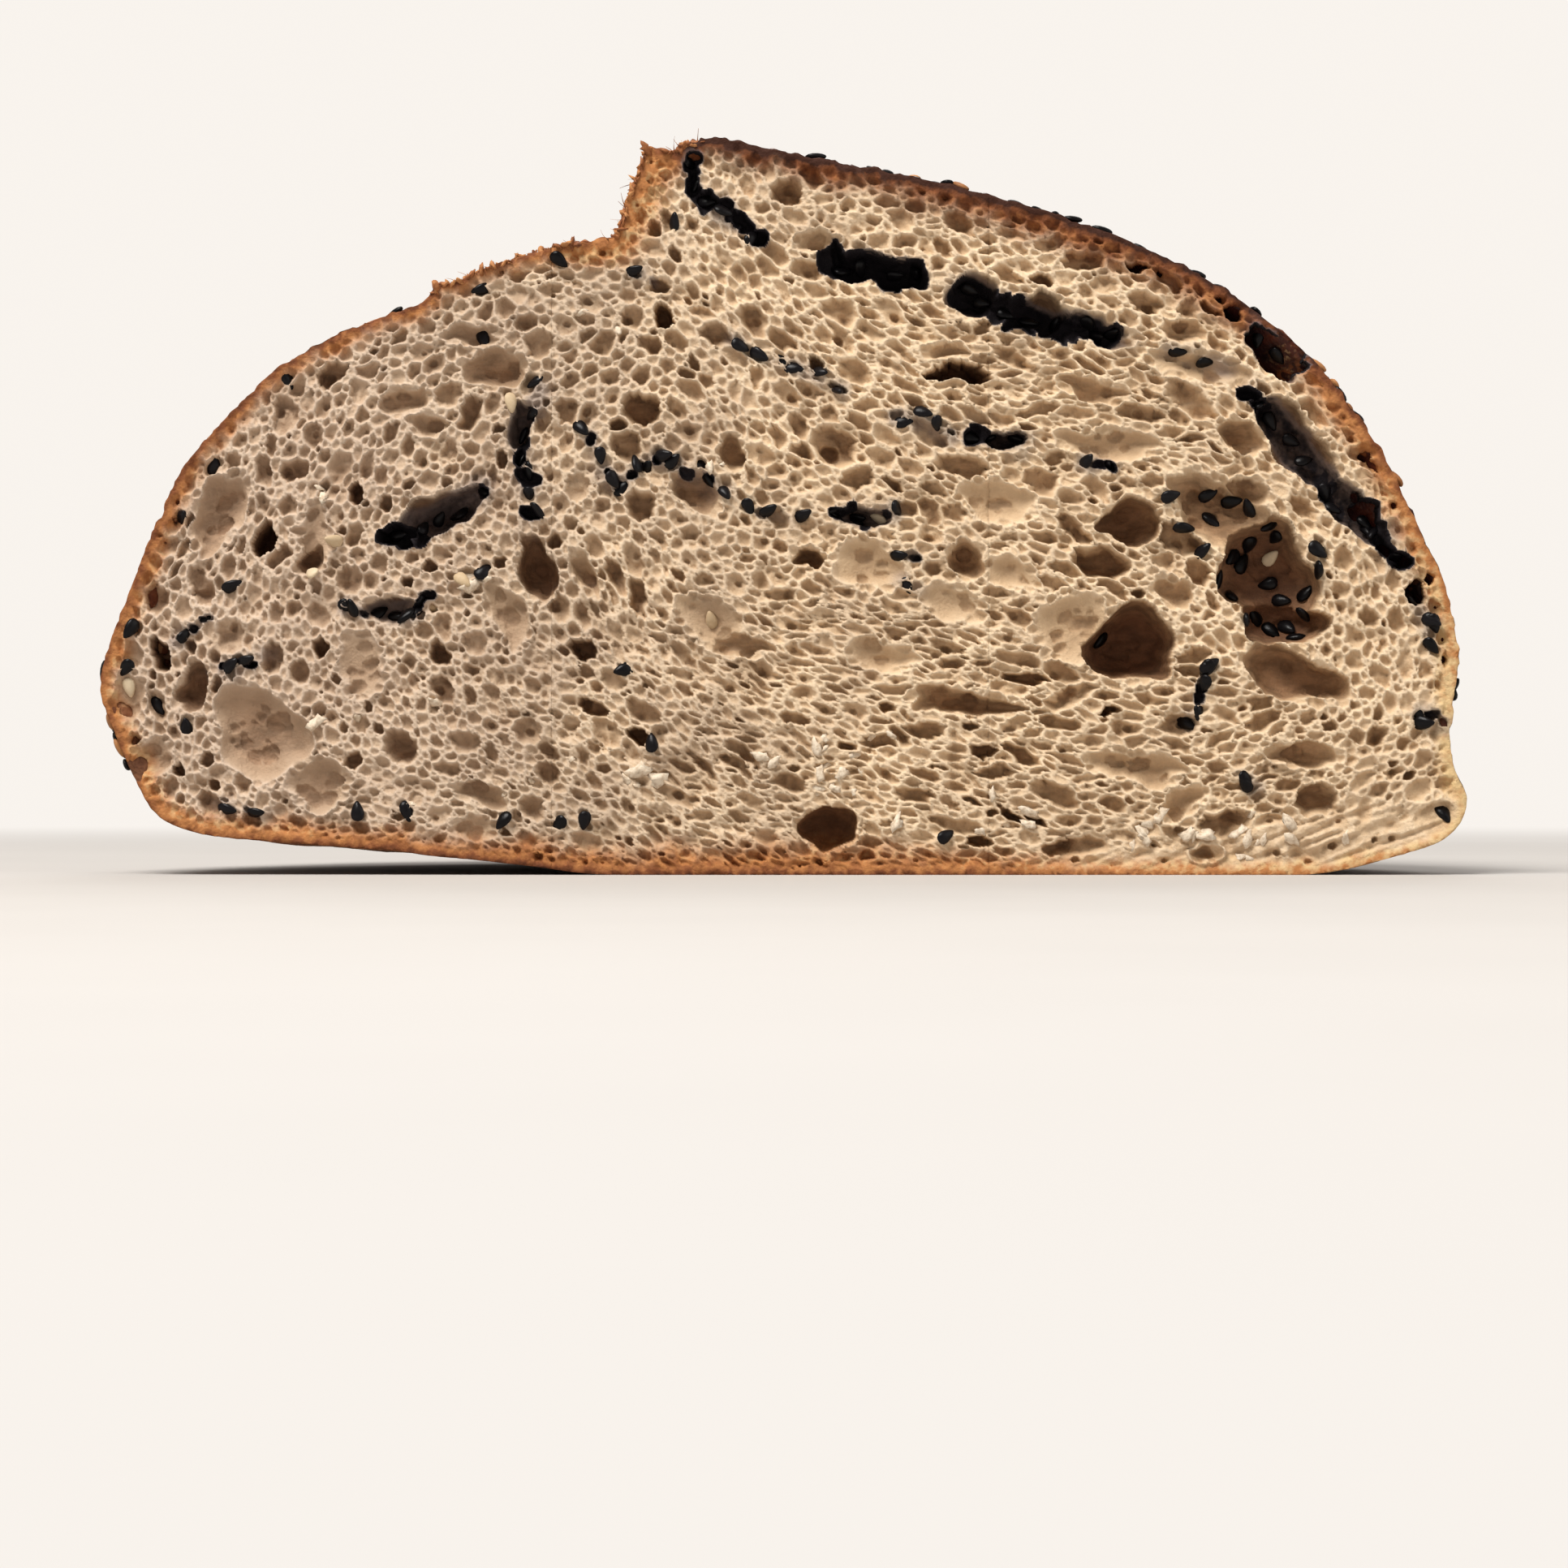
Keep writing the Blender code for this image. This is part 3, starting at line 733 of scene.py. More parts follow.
# %% The front of a block of crumb
CRUMB_DEPTH = 33.0
BLOCK_EDGES = (LEFT, -34.0, 30.0, RIGHT)
MOST_TRIANGLES = 186000
depth_map += 0.10 * (1 + pattern(map_x, map_z, 4.0, 31)) + 0.05 * np.abs(pattern(map_x, map_z, 0.8, 32))
within = np.maximum(to_rim, 0.0)
depth_map = np.minimum(depth_map, 0.25 + 1.1 * within + 0.9 * np.maximum(to_rim - 3.0, 0.0))
# Thin walls and hole rims near the cut: the crumb is painted paler there, a painted glow of light
# through thin walls.
thin_edge = np.maximum(np.exp(-(wall_gap / 0.22) ** 2), np.exp(-(hole_gap / 0.3) ** 2))
thin_edge *= 1 - smooth_step(0.35, 1.2, depth_map)
print("deepest hole:", depth_map.max().round(1), "mm")


def read_map(values, x, z):
    """Values of a map at places between its points."""
    across = np.clip((x - LEFT) / STEP, 0, values.shape[1] - 1.001)
    up = np.clip((z - LOW) / STEP, 0, values.shape[0] - 1.001)
    i = across.astype(int)
    j = up.astype(int)
    tx = across - i
    tz = up - j
    low = values[j, i] * (1 - tx) + values[j, i + 1] * tx
    high = values[j + 1, i] * (1 - tx) + values[j + 1, i + 1] * tx
    return low * (1 - tz) + high * tz


def make_block(name, left, right):
    """A closed block whose front is a fine grid moved by the map of depths."""
    across = round((right - left) / STEP)
    up = round((HIGH - LOW) / STEP)
    shape = bmesh.new()
    bmesh.ops.create_grid(shape, x_segments=across, y_segments=up, size=1.0)
    bmesh.ops.rotate(shape, verts=shape.verts, matrix=Matrix.Rotation(math.pi / 2, 3, "X"))
    edges = [edge for edge in shape.edges if edge.is_boundary]
    made = bmesh.ops.extrude_edge_only(shape, edges=edges)["geom"]
    back = [item for item in made if isinstance(item, bmesh.types.BMVert)]
    bmesh.ops.translate(shape, verts=back, vec=(0, CRUMB_DEPTH, 0))
    bmesh.ops.contextual_create(shape, geom=[edge for edge in shape.edges if edge.is_boundary])
    bmesh.ops.recalc_face_normals(shape, faces=shape.faces)
    bmesh.ops.triangulate(shape, faces=shape.faces)
    block = new_object(name, shape)
    points = read_points(block.data)
    front = points[:, 1] < CRUMB_DEPTH / 2
    points[:, 0] = left + (points[:, 0] + 1) / 2 * (right - left)
    points[:, 2] = LOW + (points[:, 2] + 1) / 2 * (HIGH - LOW)
    points[front, 1] = read_map(depth_map, points[front, 0], points[front, 2])
    write_points(block.data, in_place(points))
    apply_modifier(block, "DECIMATE", ratio=min(1.0, MOST_TRIANGLES / triangles(block)))
    return block


# %% [markdown]
# Seen in the cut, the crust is a band that fades into the crumb. It is widest and darkest under
# the seeded side, orange where the loaf tore open, and nearly missing at the lower right. Its
# width and tone are listed by the angle round the middle of the cut.

# %% The baked edge of the cut
BAKED_EDGE = [
    (-21, 1.6, 0.06), (-17, 1.8, 0.0), (-10, 2.4, 0.0), (-5, 3.2, 0.08), (6, 3.8, 0.22),
    (18, 3.8, 0.34), (33, 4.2, 0.48), (50, 4.6, 0.58), (70, 4.6, 0.62), (91, 4.2, 0.64),
    (102, 3.2, 0.75), (107, 3.0, 0.45), (111, 5.4, 0.24), (120, 4.4, 0.22), (127, 2.6, 0.27),
    (143, 2.4, 0.35), (163, 2.5, 0.35), (178, 2.8, 0.31), (187, 3.0, 0.26), (195, 2.8, 0.24),
    (213, 3.8, 0.38), (249, 5.0, 0.38), (285, 5.0, 0.34), (302, 3.8, 0.32), (330, 2.0, 0.14),
]
edge_angle, edge_width, edge_tone = np.array(BAKED_EDGE).T
width_here = np.interp(np.degrees(map_angle), edge_angle, edge_width, period=360)
tone_here = np.interp(np.degrees(map_angle), edge_angle, edge_tone, period=360)
ragged_rim = to_rim + 0.5 * pattern(map_x, map_z, 1.4, 33) + 0.7 * pattern(map_x, map_z, 4.0, 34)
crust_map = 1 - smooth_step(0.35 * width_here, 1.45 * width_here, ragged_rim)
print("the baked edge is", edge_width.min(), "to", edge_width.max(), "mm wide")
rim_tone = 0.8 * (1 - smooth_step(0.2, 1.1, to_rim)) + 0.3 * (1 - smooth_step(0.5, 2.5, to_rim))
tone_map = tone_here * (1 + rim_tone)

# %% [markdown]
# The plug is the shape of the bowl in the crust, a little smaller. It starts as a circle whose
# points are laid on the rim, and each extrusion takes a smaller ring further back.

# %% The plug that fills the bowl of the crust
PLUG = [(1.0, 0.6), (0.981, 1.55), (0.895, 7.9), (0.61, 21.9), (0.29, 29.9)]

shape = bmesh.new()
bmesh.ops.create_circle(shape, segments=len(rim), radius=1.0)
shape.verts.ensure_lookup_table()
edges = shape.edges[:]
ring = shape.verts[:]
for vert, place in zip(ring, in_place(shrunk_rim(1.0, -2.0))):
    vert.co = place
for share, back in PLUG:
    made = bmesh.ops.extrude_edge_only(shape, edges=edges)["geom"]
    edges = [item for item in made if isinstance(item, bmesh.types.BMEdge) and item.is_boundary]
    ring = [item for item in made if isinstance(item, bmesh.types.BMVert)]
    for vert, place in zip(ring, in_place(shrunk_rim(share, back))):
        vert.co = place
bmesh.ops.contextual_create(shape, geom=edges)
bmesh.ops.contextual_create(shape, geom=[edge for edge in shape.edges if edge.is_boundary])
bmesh.ops.recalc_face_normals(shape, faces=shape.faces)
plug = new_object("plug", shape)
print("plug:", triangles(plug), "triangles")

# %% [markdown]
# The Boolean keeps what a block and the plug share. Afterwards each point looks up in the maps its
# stain and painted gap shade, its thin wall, where a glow is painted, and its share of crust,
# because a material can read such values by name.

# %% Trimming the blocks
BLOCK_NAMES = ("crumb_left", "crumb_middle", "crumb_right")
crumb_pieces = []
for name, left, right in zip(BLOCK_NAMES, BLOCK_EDGES, BLOCK_EDGES[1:]):
    block = make_block(name, left, right)
    before = triangles(block)
    apply_modifier(block, "BOOLEAN", operation="INTERSECT", object=plug, solver="MANIFOLD")
    points = read_points(block.data) / MM
    x, z = points[:, 0], points[:, 2]
    add_values(block.data, "stain_and_gap_shade", read_map(stain_and_gap_shade_map, x, z))
    add_values(block.data, "thin_edge", read_map(thin_edge, x, z))
    add_values(block.data, "crust", read_map(crust_map, x, z))
    add_values(block.data, "crust_tone", read_map(tone_map, x, z))
    block.data.shade_smooth()
    crumb_pieces.append(block)
    print(name, before, "then", triangles(block), "triangles")
bpy.data.objects.remove(plug)

# %% [markdown]
# ## The seeds
# A sesame seed is a flattened drop, 3.3 mm long. One seed is shaped once, and copies of it are
# joined into one mesh for each kind, each turned its own way and sunk a little into what
# carries it.

# %% One seed
SEED_SIZE = (3.3, 2.0, 1.15)
SEED_PINCH = 0.42

shape = bmesh.new()
bmesh.ops.create_uvsphere(shape, u_segments=10, v_segments=7, radius=1.0)
bmesh.ops.rotate(shape, verts=shape.verts, matrix=Matrix.Rotation(math.pi / 2, 3, "Y"))
for vert in shape.verts:
    pinch = 1 - SEED_PINCH * vert.co.x
    vert.co = Vector((
        vert.co.x * SEED_SIZE[0] / 2, vert.co.y * SEED_SIZE[1] / 2 * pinch, vert.co.z * SEED_SIZE[2] / 2,
    ))
bmesh.ops.recalc_face_normals(shape, faces=shape.faces)


def form_of(shape):
    """The points and faces of a bmesh, which is then freed."""
    shape.verts.index_update()
    points = np.array([vert.co for vert in shape.verts])
    faces = [[vert.index for vert in face.verts] for face in shape.faces]
    shape.free()
    return points, faces


seed_form = form_of(shape)
print("one seed has", sum(len(face) - 2 for face in seed_form[1]), "triangles")


def join_copies(name, forms, places):
    """One mesh of small things; a place is a point, the way out, a turn, a size and a tilt."""
    points, faces, shades = [], [], []
    first = 0
    for number, (point, outward, turn, size, tilt) in enumerate(places):
        form_points, form_faces = forms[number % len(forms)]
        stand = Vector(outward).to_track_quat("Z", "X").to_matrix()
        spin = Matrix.Rotation(turn, 3, "Z") @ Matrix.Rotation(tilt, 3, "Y")
        points.append(form_points @ np.array(stand @ spin).T * size + np.asarray(point))
        faces.extend([[index + first for index in face] for face in form_faces])
        shades.append(np.full(len(form_points), draw.random()))
        first += len(form_points)
    mesh = bpy.data.meshes.new(name)
    mesh.from_pydata(in_place(np.concatenate(points)).tolist(), [], faces)
    add_values(mesh, "shade", np.concatenate(shades))
    mesh.shade_smooth()
    thing = bpy.data.objects.new(name, mesh)
    bpy.context.scene.collection.objects.link(thing)
    print(name, "has", len(places), "pieces and", triangles(thing), "triangles")
    return thing


# %% [markdown]
# Wet dough was rolled in sesame, so the seeds sit thick on the side and the end, and in loose
# clusters on top. Geometry nodes could scatter them too. Here places on the skin are drawn by
# chance, by their area and by how wanted a seed is there, and a place too near another seed is
# left out.

# %% Seeds on the crust
skin_across = np.gradient(skin, axis=1)
skin_back = np.gradient(skin, axis=0)
skin_out = np.cross(skin_across, skin_back)
skin_out /= np.maximum(np.linalg.norm(skin_out, axis=2), 1e-9)[..., None]
skin_out *= np.sign(np.mean(skin_out[1, :, 2] * (skin[1, :, 2] - 40)))
area = np.linalg.norm(np.cross(skin_across, skin_back), axis=2)
low_side = between(sheet_u, 7.5, 9.0, 13.0, 18.0) * smooth_step(0.0, 0.3, sheet_s)
side = smooth_step(0.3, 0.8, sheet_s) + low_side
cluster = smooth_step(-0.1, 0.5, solid_pattern(skin, 14.0, 41) + 0.7 * solid_pattern(skin, 5.0, 42))
wanted = between(sheet_u, 7.0, 8.5, 24.2, 24.5) * (0.25 + 0.9 * np.minimum(side, 1.2)) * (0.1 + cluster)
wanted += 0.5 * between(sheet_u, 44.4, 45.2, 46.8, 47.6) * (0.2 + cluster)
wanted += 0.012 * between(sheet_u, 33.0, 36.0, 44.0, 45.0)
wanted *= 1 + 0.8 * between(sheet_u, 10.0, 12.0, 21.0, 22.0) * (sheet_s < 0.12)
wanted[(sheet_s < 0.012) | ((sheet_s < 0.06) & (sheet_u > 22.0) & (sheet_u < 30.0))] = 0
chance = (wanted * area).ravel()
SEEDS_TRIED = 2500
SEED_ROOM = 1.75
SEED_LIFT = 0.28
BROWN_SHARE = 0.31
tried = draw.choice(chance.size, SEEDS_TRIED, replace=False, p=chance / chance.sum())
crust_seeds = []
taken = {}
for index in tried:
    place = np.unravel_index(index, sheet_u.shape)
    point = skin[place]
    cell = tuple(np.floor(point / 3.0).astype(int))
    near = [other for i in (-1, 0, 1) for j in (-1, 0, 1) for k in (-1, 0, 1)
            for other in taken.get((cell[0] + i, cell[1] + j, cell[2] + k), [])]
    if any(np.linalg.norm(point - other) < SEED_ROOM for other in near):
        continue
    taken.setdefault(cell, []).append(point)
    outward = skin_out[place]
    turn, size, tilt = draw.uniform(0, 2 * math.pi), draw.uniform(0.85, 1.08), draw.normal(0, 0.12)
    crust_seeds.append((point + SEED_LIFT * outward, outward, turn, size, tilt))
is_brown = draw.random(len(crust_seeds)) < BROWN_SHARE
print(len(crust_seeds), "seeds on the crust")

# %% [markdown]
# In the crumb the seeds lie along the seams like beads, and a few were cut free one by one. Each
# is laid on the crumb at its place and tilted to the slope there, so it neither floats nor sinks.

# %% Seeds in the crumb
def face_place(x, z, lift=0.25):
    """A place on the cut face and the way out of it."""
    x, z = np.array([x]), np.array([z])
    depth = read_map(depth_map, x, z)[0]
    slope_x = (read_map(depth_map, x + 0.6, z) - read_map(depth_map, x - 0.6, z))[0] / 1.2
    slope_z = (read_map(depth_map, x, z + 0.6) - read_map(depth_map, x, z - 0.6))[0] / 1.2
    outward = Vector((slope_x, -1.0, slope_z)).normalized()
    return Vector((x[0], depth, z[0])) + outward * lift, outward


SEED_DEPTH = 3.0
crumb_seeds = []
for line, width, depth, open_share in SEAMS:
    path = filled_line(line, 0.25)
    place = draw.integers(0, 6)
    while place < len(path) - 1:
        x, z = path[place] + draw.normal(0, 0.2 + 0.3 * width, 2)
        lean = math.atan2(*(path[place + 1] - path[place])[::-1]) + draw.normal(0, 0.5)
        point, outward = face_place(x, z)
        if point.y > SEED_DEPTH:
            point.y = SEED_DEPTH + 0.5 * (point.y - SEED_DEPTH)
        size, tilt = draw.uniform(0.8, 1.0), draw.normal(0, 0.3)
        crumb_seeds.append((point, outward, lean - math.pi / 2, size, tilt))
        place += int(draw.uniform(7, 20))
CAVE = [
    (56.5, 55.5), (58.5, 51.0), (61.5, 47.5), (63.0, 52.0), (66.0, 55.0), (68.5, 54.0), (71.5, 51.5),
    (69.0, 49.0), (66.5, 47.0), (64.0, 43.5), (66.0, 41.0), (68.0, 46.0), (73.0, 50.0), (78.0, 47.5),
    (78.5, 44.5), (77.5, 41.5), (77.0, 38.5), (75.0, 36.5), (72.5, 36.0), (70.0, 38.0), (67.5, 37.5),
    (62.5, 56.0), (74.0, 40.5), (72.0, 43.0), (76.0, 34.8),
]
SINGLE = [
    (-80.8, 42.5), (-63, 39.2), (-55.3, 37.7), (-53.5, 40.1), (-44, 44.3), (-83.6, 60), (-88, 52.6),
    (-72.9, 72.4), (-95.7, 36), (-96.3, 30.4), (-87.6, 21.4), (-91.8, 24.7), (-44, 78.7), (-15.8, 95.6),
    (-32.8, 90), (-44.6, 85.8), (-23.5, 30), (-19.3, 19.3), (62.2, 30.6), (59.2, 22.3), (67.5, 13.4),
    (-62.4, 9.3), (-55.3, 9.3), (-41, 7.8), (-32.8, 7.5), (-29.2, 8.1), (23.6, 5.7), (96.6, 8.9),
    (93.7, 22.3), (94.8, 33.6), (92.5, 40.1), (94.8, 37.2), (46.9, 34.7), (10.5, 52.0), (7.0, 53.5),
]
for x, z in CAVE + SINGLE:
    point, outward = face_place(x, z, 0.3)
    turn, size, tilt = draw.uniform(0, 2 * math.pi), draw.uniform(0.9, 1.08), draw.normal(0, 0.2)
    crumb_seeds.append((point, outward, turn, size, tilt))
PALE_SEEDS = [
    (-68.9, 44.0), (-47.0, 43.0), (-10.8, 37.5), (14.1, 52.6), (-40.1, 69.0), (-51.5, 39.3),
    (72.5, 47.0), (-66.0, 49.0), (-96.0, 27.5),
]
pale_seeds = []
for x, z in PALE_SEEDS:
    point, outward = face_place(x, z, 0.3)
    pale_seeds.append((point, outward, draw.uniform(0, 2 * math.pi), draw.uniform(0.9, 1.05), 0.0))
black_crust = [seed for seed, brown in zip(crust_seeds, is_brown) if not brown]
brown_crust = [seed for seed, brown in zip(crust_seeds, is_brown) if brown]
black_seeds = join_copies("black_seeds", [seed_form], black_crust + crumb_seeds)
brown_seeds = join_copies("brown_seeds", [seed_form], brown_crust)
white_seeds = join_copies("white_seeds", [seed_form], pale_seeds)

# %% [markdown]
# ## Torn bits
# The knife drags at soft crumb, so small lumps of it cling to the cut. Where the crust tore open
# its edge is frayed into short fibres. Both are made as the seeds are: a few forms, each copied
# to many places.

# %% Lumps of crumb
LUMP_SPOTS = [
    (-21, 14, 2.0, 1.5, 5), (5, 14, 7, 3, 10), (10, 19, 6, 2.5, 6), (-67.5, 56.5, 1.0, 1.2, 4),
    (-47, 43, 2.2, 0.6, 3), (64, 6.5, 12, 2.5, 22), (32, 8, 12, 3, 8), (-8, 60, 4, 3, 3),
    (-29, 80, 8, 5, 4), (48, 30, 1.5, 1.0, 3), (-60, 25, 12, 10, 4), (-40, 15, 12, 6, 5),
]


def lump_form(number):
    shape = bmesh.new()
    bmesh.ops.create_icosphere(shape, subdivisions=2, radius=0.5)
    for vert in shape.verts:
        vert.co *= 1 + 0.9 * noise.noise(vert.co * 3.0 + Vector((number, 0, 0)))
        vert.co = Vector((1.3 * vert.co.x, 0.8 * vert.co.y, 0.4 * vert.co.z))
    return form_of(shape)


LUMP_DEPTH = 1.2
lump_places = []
for x, z, wide, high, count in LUMP_SPOTS:
    for _ in range(count):
        place = draw.normal((x, z), (0.6 * wide, 0.6 * high))
        if read_map(to_rim, *np.array(place).reshape(2, 1))[0] < 1.5:
            continue
        point, outward = face_place(*place, 0.1)
        if point.y > LUMP_DEPTH:
            continue
        turn, size = draw.uniform(0, 2 * math.pi), draw.uniform(0.8, 2.5)
        lump_places.append((point, outward, turn, size, 0.0))
crumb_lumps = join_copies("crumb_lumps", [lump_form(7.1 * number) for number in range(4)], lump_places)

# %% [markdown]
# A fibre starts as a small circle that is extruded five times, shrinking as it leans over. One
# frayed bit in five is a fibre. The rest are flakes, which are lumps with other numbers.

# %% Fibres and flakes along the torn edge
FIBRES = 1300
FIBRE_RADIUS = 0.08


def fibre_form(bend):
    """A thin tapering strand one long that leans over as it rises."""
    shape = bmesh.new()
    bmesh.ops.create_circle(shape, cap_ends=True, segments=4, radius=FIBRE_RADIUS)
    edges = shape.edges[:]
    for step in range(1, 6):
        made = bmesh.ops.extrude_edge_only(shape, edges=edges)["geom"]
        edges = [item for item in made if isinstance(item, bmesh.types.BMEdge) and item.is_boundary]
        ring = [item for item in made if isinstance(item, bmesh.types.BMVert)]
        bmesh.ops.translate(shape, verts=ring, vec=(bend * 0.05 * step, 0, 0.2))
        middle = sum((vert.co for vert in ring), Vector()) / len(ring)
        bmesh.ops.scale(shape, verts=ring, vec=(0.75, 0.75, 0.75), space=Matrix.Translation(-middle))
    bmesh.ops.contextual_create(shape, geom=edges)
    bmesh.ops.recalc_face_normals(shape, faces=shape.faces)
    return form_of(shape)


frayed = between(sheet_u, 24.7, 24.9, 25.6, 26.6) + 0.5 * between(sheet_u, 26.0, 28.0, 29.5, 31.0)
frayed += 0.35 * between(sheet_u, 31.0, 32.0, 33.5, 36.0)
frayed *= 1 + 5 * (sheet_s < 0.03)
fibre_places = []
chance = (frayed * area).ravel()
for index in draw.choice(chance.size, FIBRES, replace=False, p=chance / chance.sum()):
    place = np.unravel_index(index, sheet_u.shape)
    lean = Vector(skin_out[place]) + Vector(draw.normal(0, 0.75, 3))
    lean.y = max(lean.y, -0.2)
    turn, size = draw.uniform(0, 2 * math.pi), draw.uniform(0.6, 1.7)
    fibre_places.append((skin[place] - 0.15 * skin_out[place], lean.normalized(), turn, size, 0.0))
frayed_forms = [fibre_form(1.6)] + [lump_form(number) for number in (3.3, 9.9, 15.2, 21.7)]
crust_fibres = join_copies("crust_fibres", frayed_forms, fibre_places)

# %% [markdown]
# ## Materials
# A material in Blender is a graph of nodes. They can be dragged together in the shader editor,
# and a script adds the same nodes one by one. These helpers add one node each and take either
# plain values or the outputs of other nodes, so that a material below reads as a list of the
# layers of its surface.

# %% Helpers for nodes
def feed(tree, socket, value):
    if isinstance(value, bpy.types.NodeSocket):
        tree.links.new(value, socket)
    else:
        socket.default_value = value


def add_node(tree, kind, inputs=(), **settings):
    """Adds a node. Inputs go by place or by name, and the settings are its properties."""
    node = tree.nodes.new("ShaderNode" + kind)
    for name, value in settings.items():
        setattr(node, name, value)
    pairs = inputs.items() if isinstance(inputs, dict) else enumerate(inputs)
    for key, value in pairs:
        feed(tree, node.inputs[key], value)
    return node


def maths(tree, operation, *values):
    return add_node(tree, "Math", values, operation=operation).outputs[0]


def spread(tree, value, low, high, new_low=0.0, new_high=1.0):
    """A smooth step from new_low to new_high, while the value goes from low to high."""
    inputs = {"Value": value, "From Min": low, "From Max": high, "To Min": new_low, "To Max": new_high}
    return add_node(tree, "MapRange", inputs, interpolation_type="SMOOTHSTEP").outputs[0]


def mix(tree, share, first, second, blend="MIX"):
    node = add_node(tree, "Mix", data_type="RGBA", blend_type=blend)
    if isinstance(second, tuple):
        second = (*second, 1.0)
    for place, value in ((0, share), (6, first), (7, second)):
        feed(tree, node.inputs[place], value)
    return node.outputs[2]


def ramp(tree, value, stops):
    """Colours along a value, as pairs of a place and a colour."""
    node = add_node(tree, "ValToRGB", [value])
    colours = node.color_ramp.elements
    while len(colours) < len(stops):
        colours.new(0.5)
    for element, (place, colour) in zip(colours, stops):
        element.position = place
        element.color = (*colour, 1.0)
    return node.outputs[0]


def value_of(tree, name):
    return add_node(tree, "Attribute", attribute_name=name).outputs["Fac"]


def clouds(tree, where, size, detail=2.0, rough=0.55):
    """Noise whose lumps are about size millimetres across."""
    inputs = {"Vector": where, "Scale": 1.0 / (size * MM), "Detail": detail, "Roughness": rough}
    return add_node(tree, "TexNoise", inputs).outputs["Fac"]


def bump(tree, height, distance, strength):
    inputs = {"Height": height, "Distance": distance * MM, "Strength": strength}
    return add_node(tree, "Bump", inputs).outputs[0]


def new_material(name, specular):
    """A material, its nodes, its shader and the place on the object that a node can read."""
    material = bpy.data.materials.new(name)
    material.use_nodes = True
    tree = material.node_tree
    shader = tree.nodes["Principled BSDF"]
    shader.inputs["Specular IOR Level"].default_value = specular
    return material, tree, shader, add_node(tree, "TexCoord").outputs["Object"]


def give(material, *pieces):
    for piece in pieces:
        piece.data.materials.clear()
        piece.data.materials.append(material)
    nodes = len(material.node_tree.nodes)
    print(material.name, "has", nodes, "nodes and dresses", len(pieces), "pieces")


# %% [markdown]
# Baked crumb is matte. Its colour is painted browner with the depth behind the cut, which is
# painted shade: the lights give some of that, but they can't reach far into a bubble. Thin walls
# and the rims of holes are painted paler, a painted glow of light through thin crumb. The sesame
# has stained its seams grey, and the deepest seam gaps are painted near black as shade. Towards
# the rim the crumb bakes to orange and brown, and its right side is painted brighter as well as
# warmer, which is painted light.

# %% Crumb
crumb, tree, shader, where = new_material("open_crumb", 0.2)
x, y, z = add_node(tree, "SeparateXYZ", [where]).outputs
fine = clouds(tree, where, 0.5)
wide = clouds(tree, where, 9.0)
depth = maths(tree, "MULTIPLY_ADD", y, 1.0 / MM, -CUT_Y)
depth = maths(tree, "MULTIPLY_ADD", fine, 0.5, maths(tree, "SUBTRACT", depth, 0.25))
depth_share = maths(tree, "MAXIMUM", maths(tree, "DIVIDE", depth, 12.0), 0.0)
# This ramp paints shade: the deeper a point lies behind the cut, the browner and darker it is.
body = ramp(tree, maths(tree, "POWER", depth_share, 0.5), [
    (0.0, (0.60, 0.475, 0.34)), (0.15, (0.585, 0.46, 0.325)), (0.29, (0.535, 0.41, 0.28)),
    (0.42, (0.44, 0.32, 0.208)), (0.60, (0.26, 0.16, 0.092)), (0.88, (0.135, 0.066, 0.037)),
])
# Painted glow: thin walls and hole rims are mixed towards a paler cream.
wall_glow_share = maths(tree, "MULTIPLY", value_of(tree, "thin_edge"), 0.65)
body = mix(tree, wall_glow_share, body, (0.70, 0.59, 0.455))
flat_place = add_node(tree, "Mapping", {"Vector": where, "Scale": (0.35, 1.0, 1.0)}).outputs[0]
streaks = spread(tree, clouds(tree, flat_place, 1.6, 3.0), 0.3, 0.7, -1.0, 1.0)
streaks = maths(tree, "MULTIPLY", streaks, spread(tree, depth, 1.5, 3.5, 0.0, 0.28))
streak_tone = add_node(tree, "CombineColor", [maths(tree, "ADD", streaks, 1.0)] * 3).outputs[0]
body = mix(tree, 1.0, body, streak_tone, "MULTIPLY")
# Left greyer and pinker, right warmer: a real tint. The right is also painted brighter, which is painted
# light.
sideways = spread(tree, maths(tree, "MULTIPLY_ADD", wide, 0.05, x), -0.06, 0.05)
right_tint_and_painted_light = ramp(tree, sideways, [
    (0.0, (0.90, 0.86, 0.88)), (0.45, (0.88, 0.84, 0.825)), (1.0, (1.11, 1.06, 0.98)),
])
body = mix(tree, 1.0, body, right_tint_and_painted_light, "MULTIPLY")
patchy = ramp(tree, wide, [(0.3, (0.90, 0.87, 0.85)), (0.7, (1.06, 1.05, 1.04))])
body = mix(tree, 1.0, body, patchy, "MULTIPLY")
baked = spread(tree, clouds(tree, where, 1.6), 0.3, 0.7, -0.14, 0.14)
crust_colour = ramp(tree, maths(tree, "ADD", value_of(tree, "crust_tone"), baked), [
    (0.0, (0.66, 0.47, 0.24)), (0.3, (0.44, 0.185, 0.062)),
    (0.65, (0.19, 0.062, 0.022)), (1.0, (0.045, 0.015, 0.008)),
])
body = mix(tree, value_of(tree, "crust"), body, crust_colour)
stain_and_gap_shade = value_of(tree, "stain_and_gap_shade")
body = mix(tree, spread(tree, stain_and_gap_shade, 0.08, 0.5, 0.0, 0.55), body, (0.17, 0.145, 0.15))
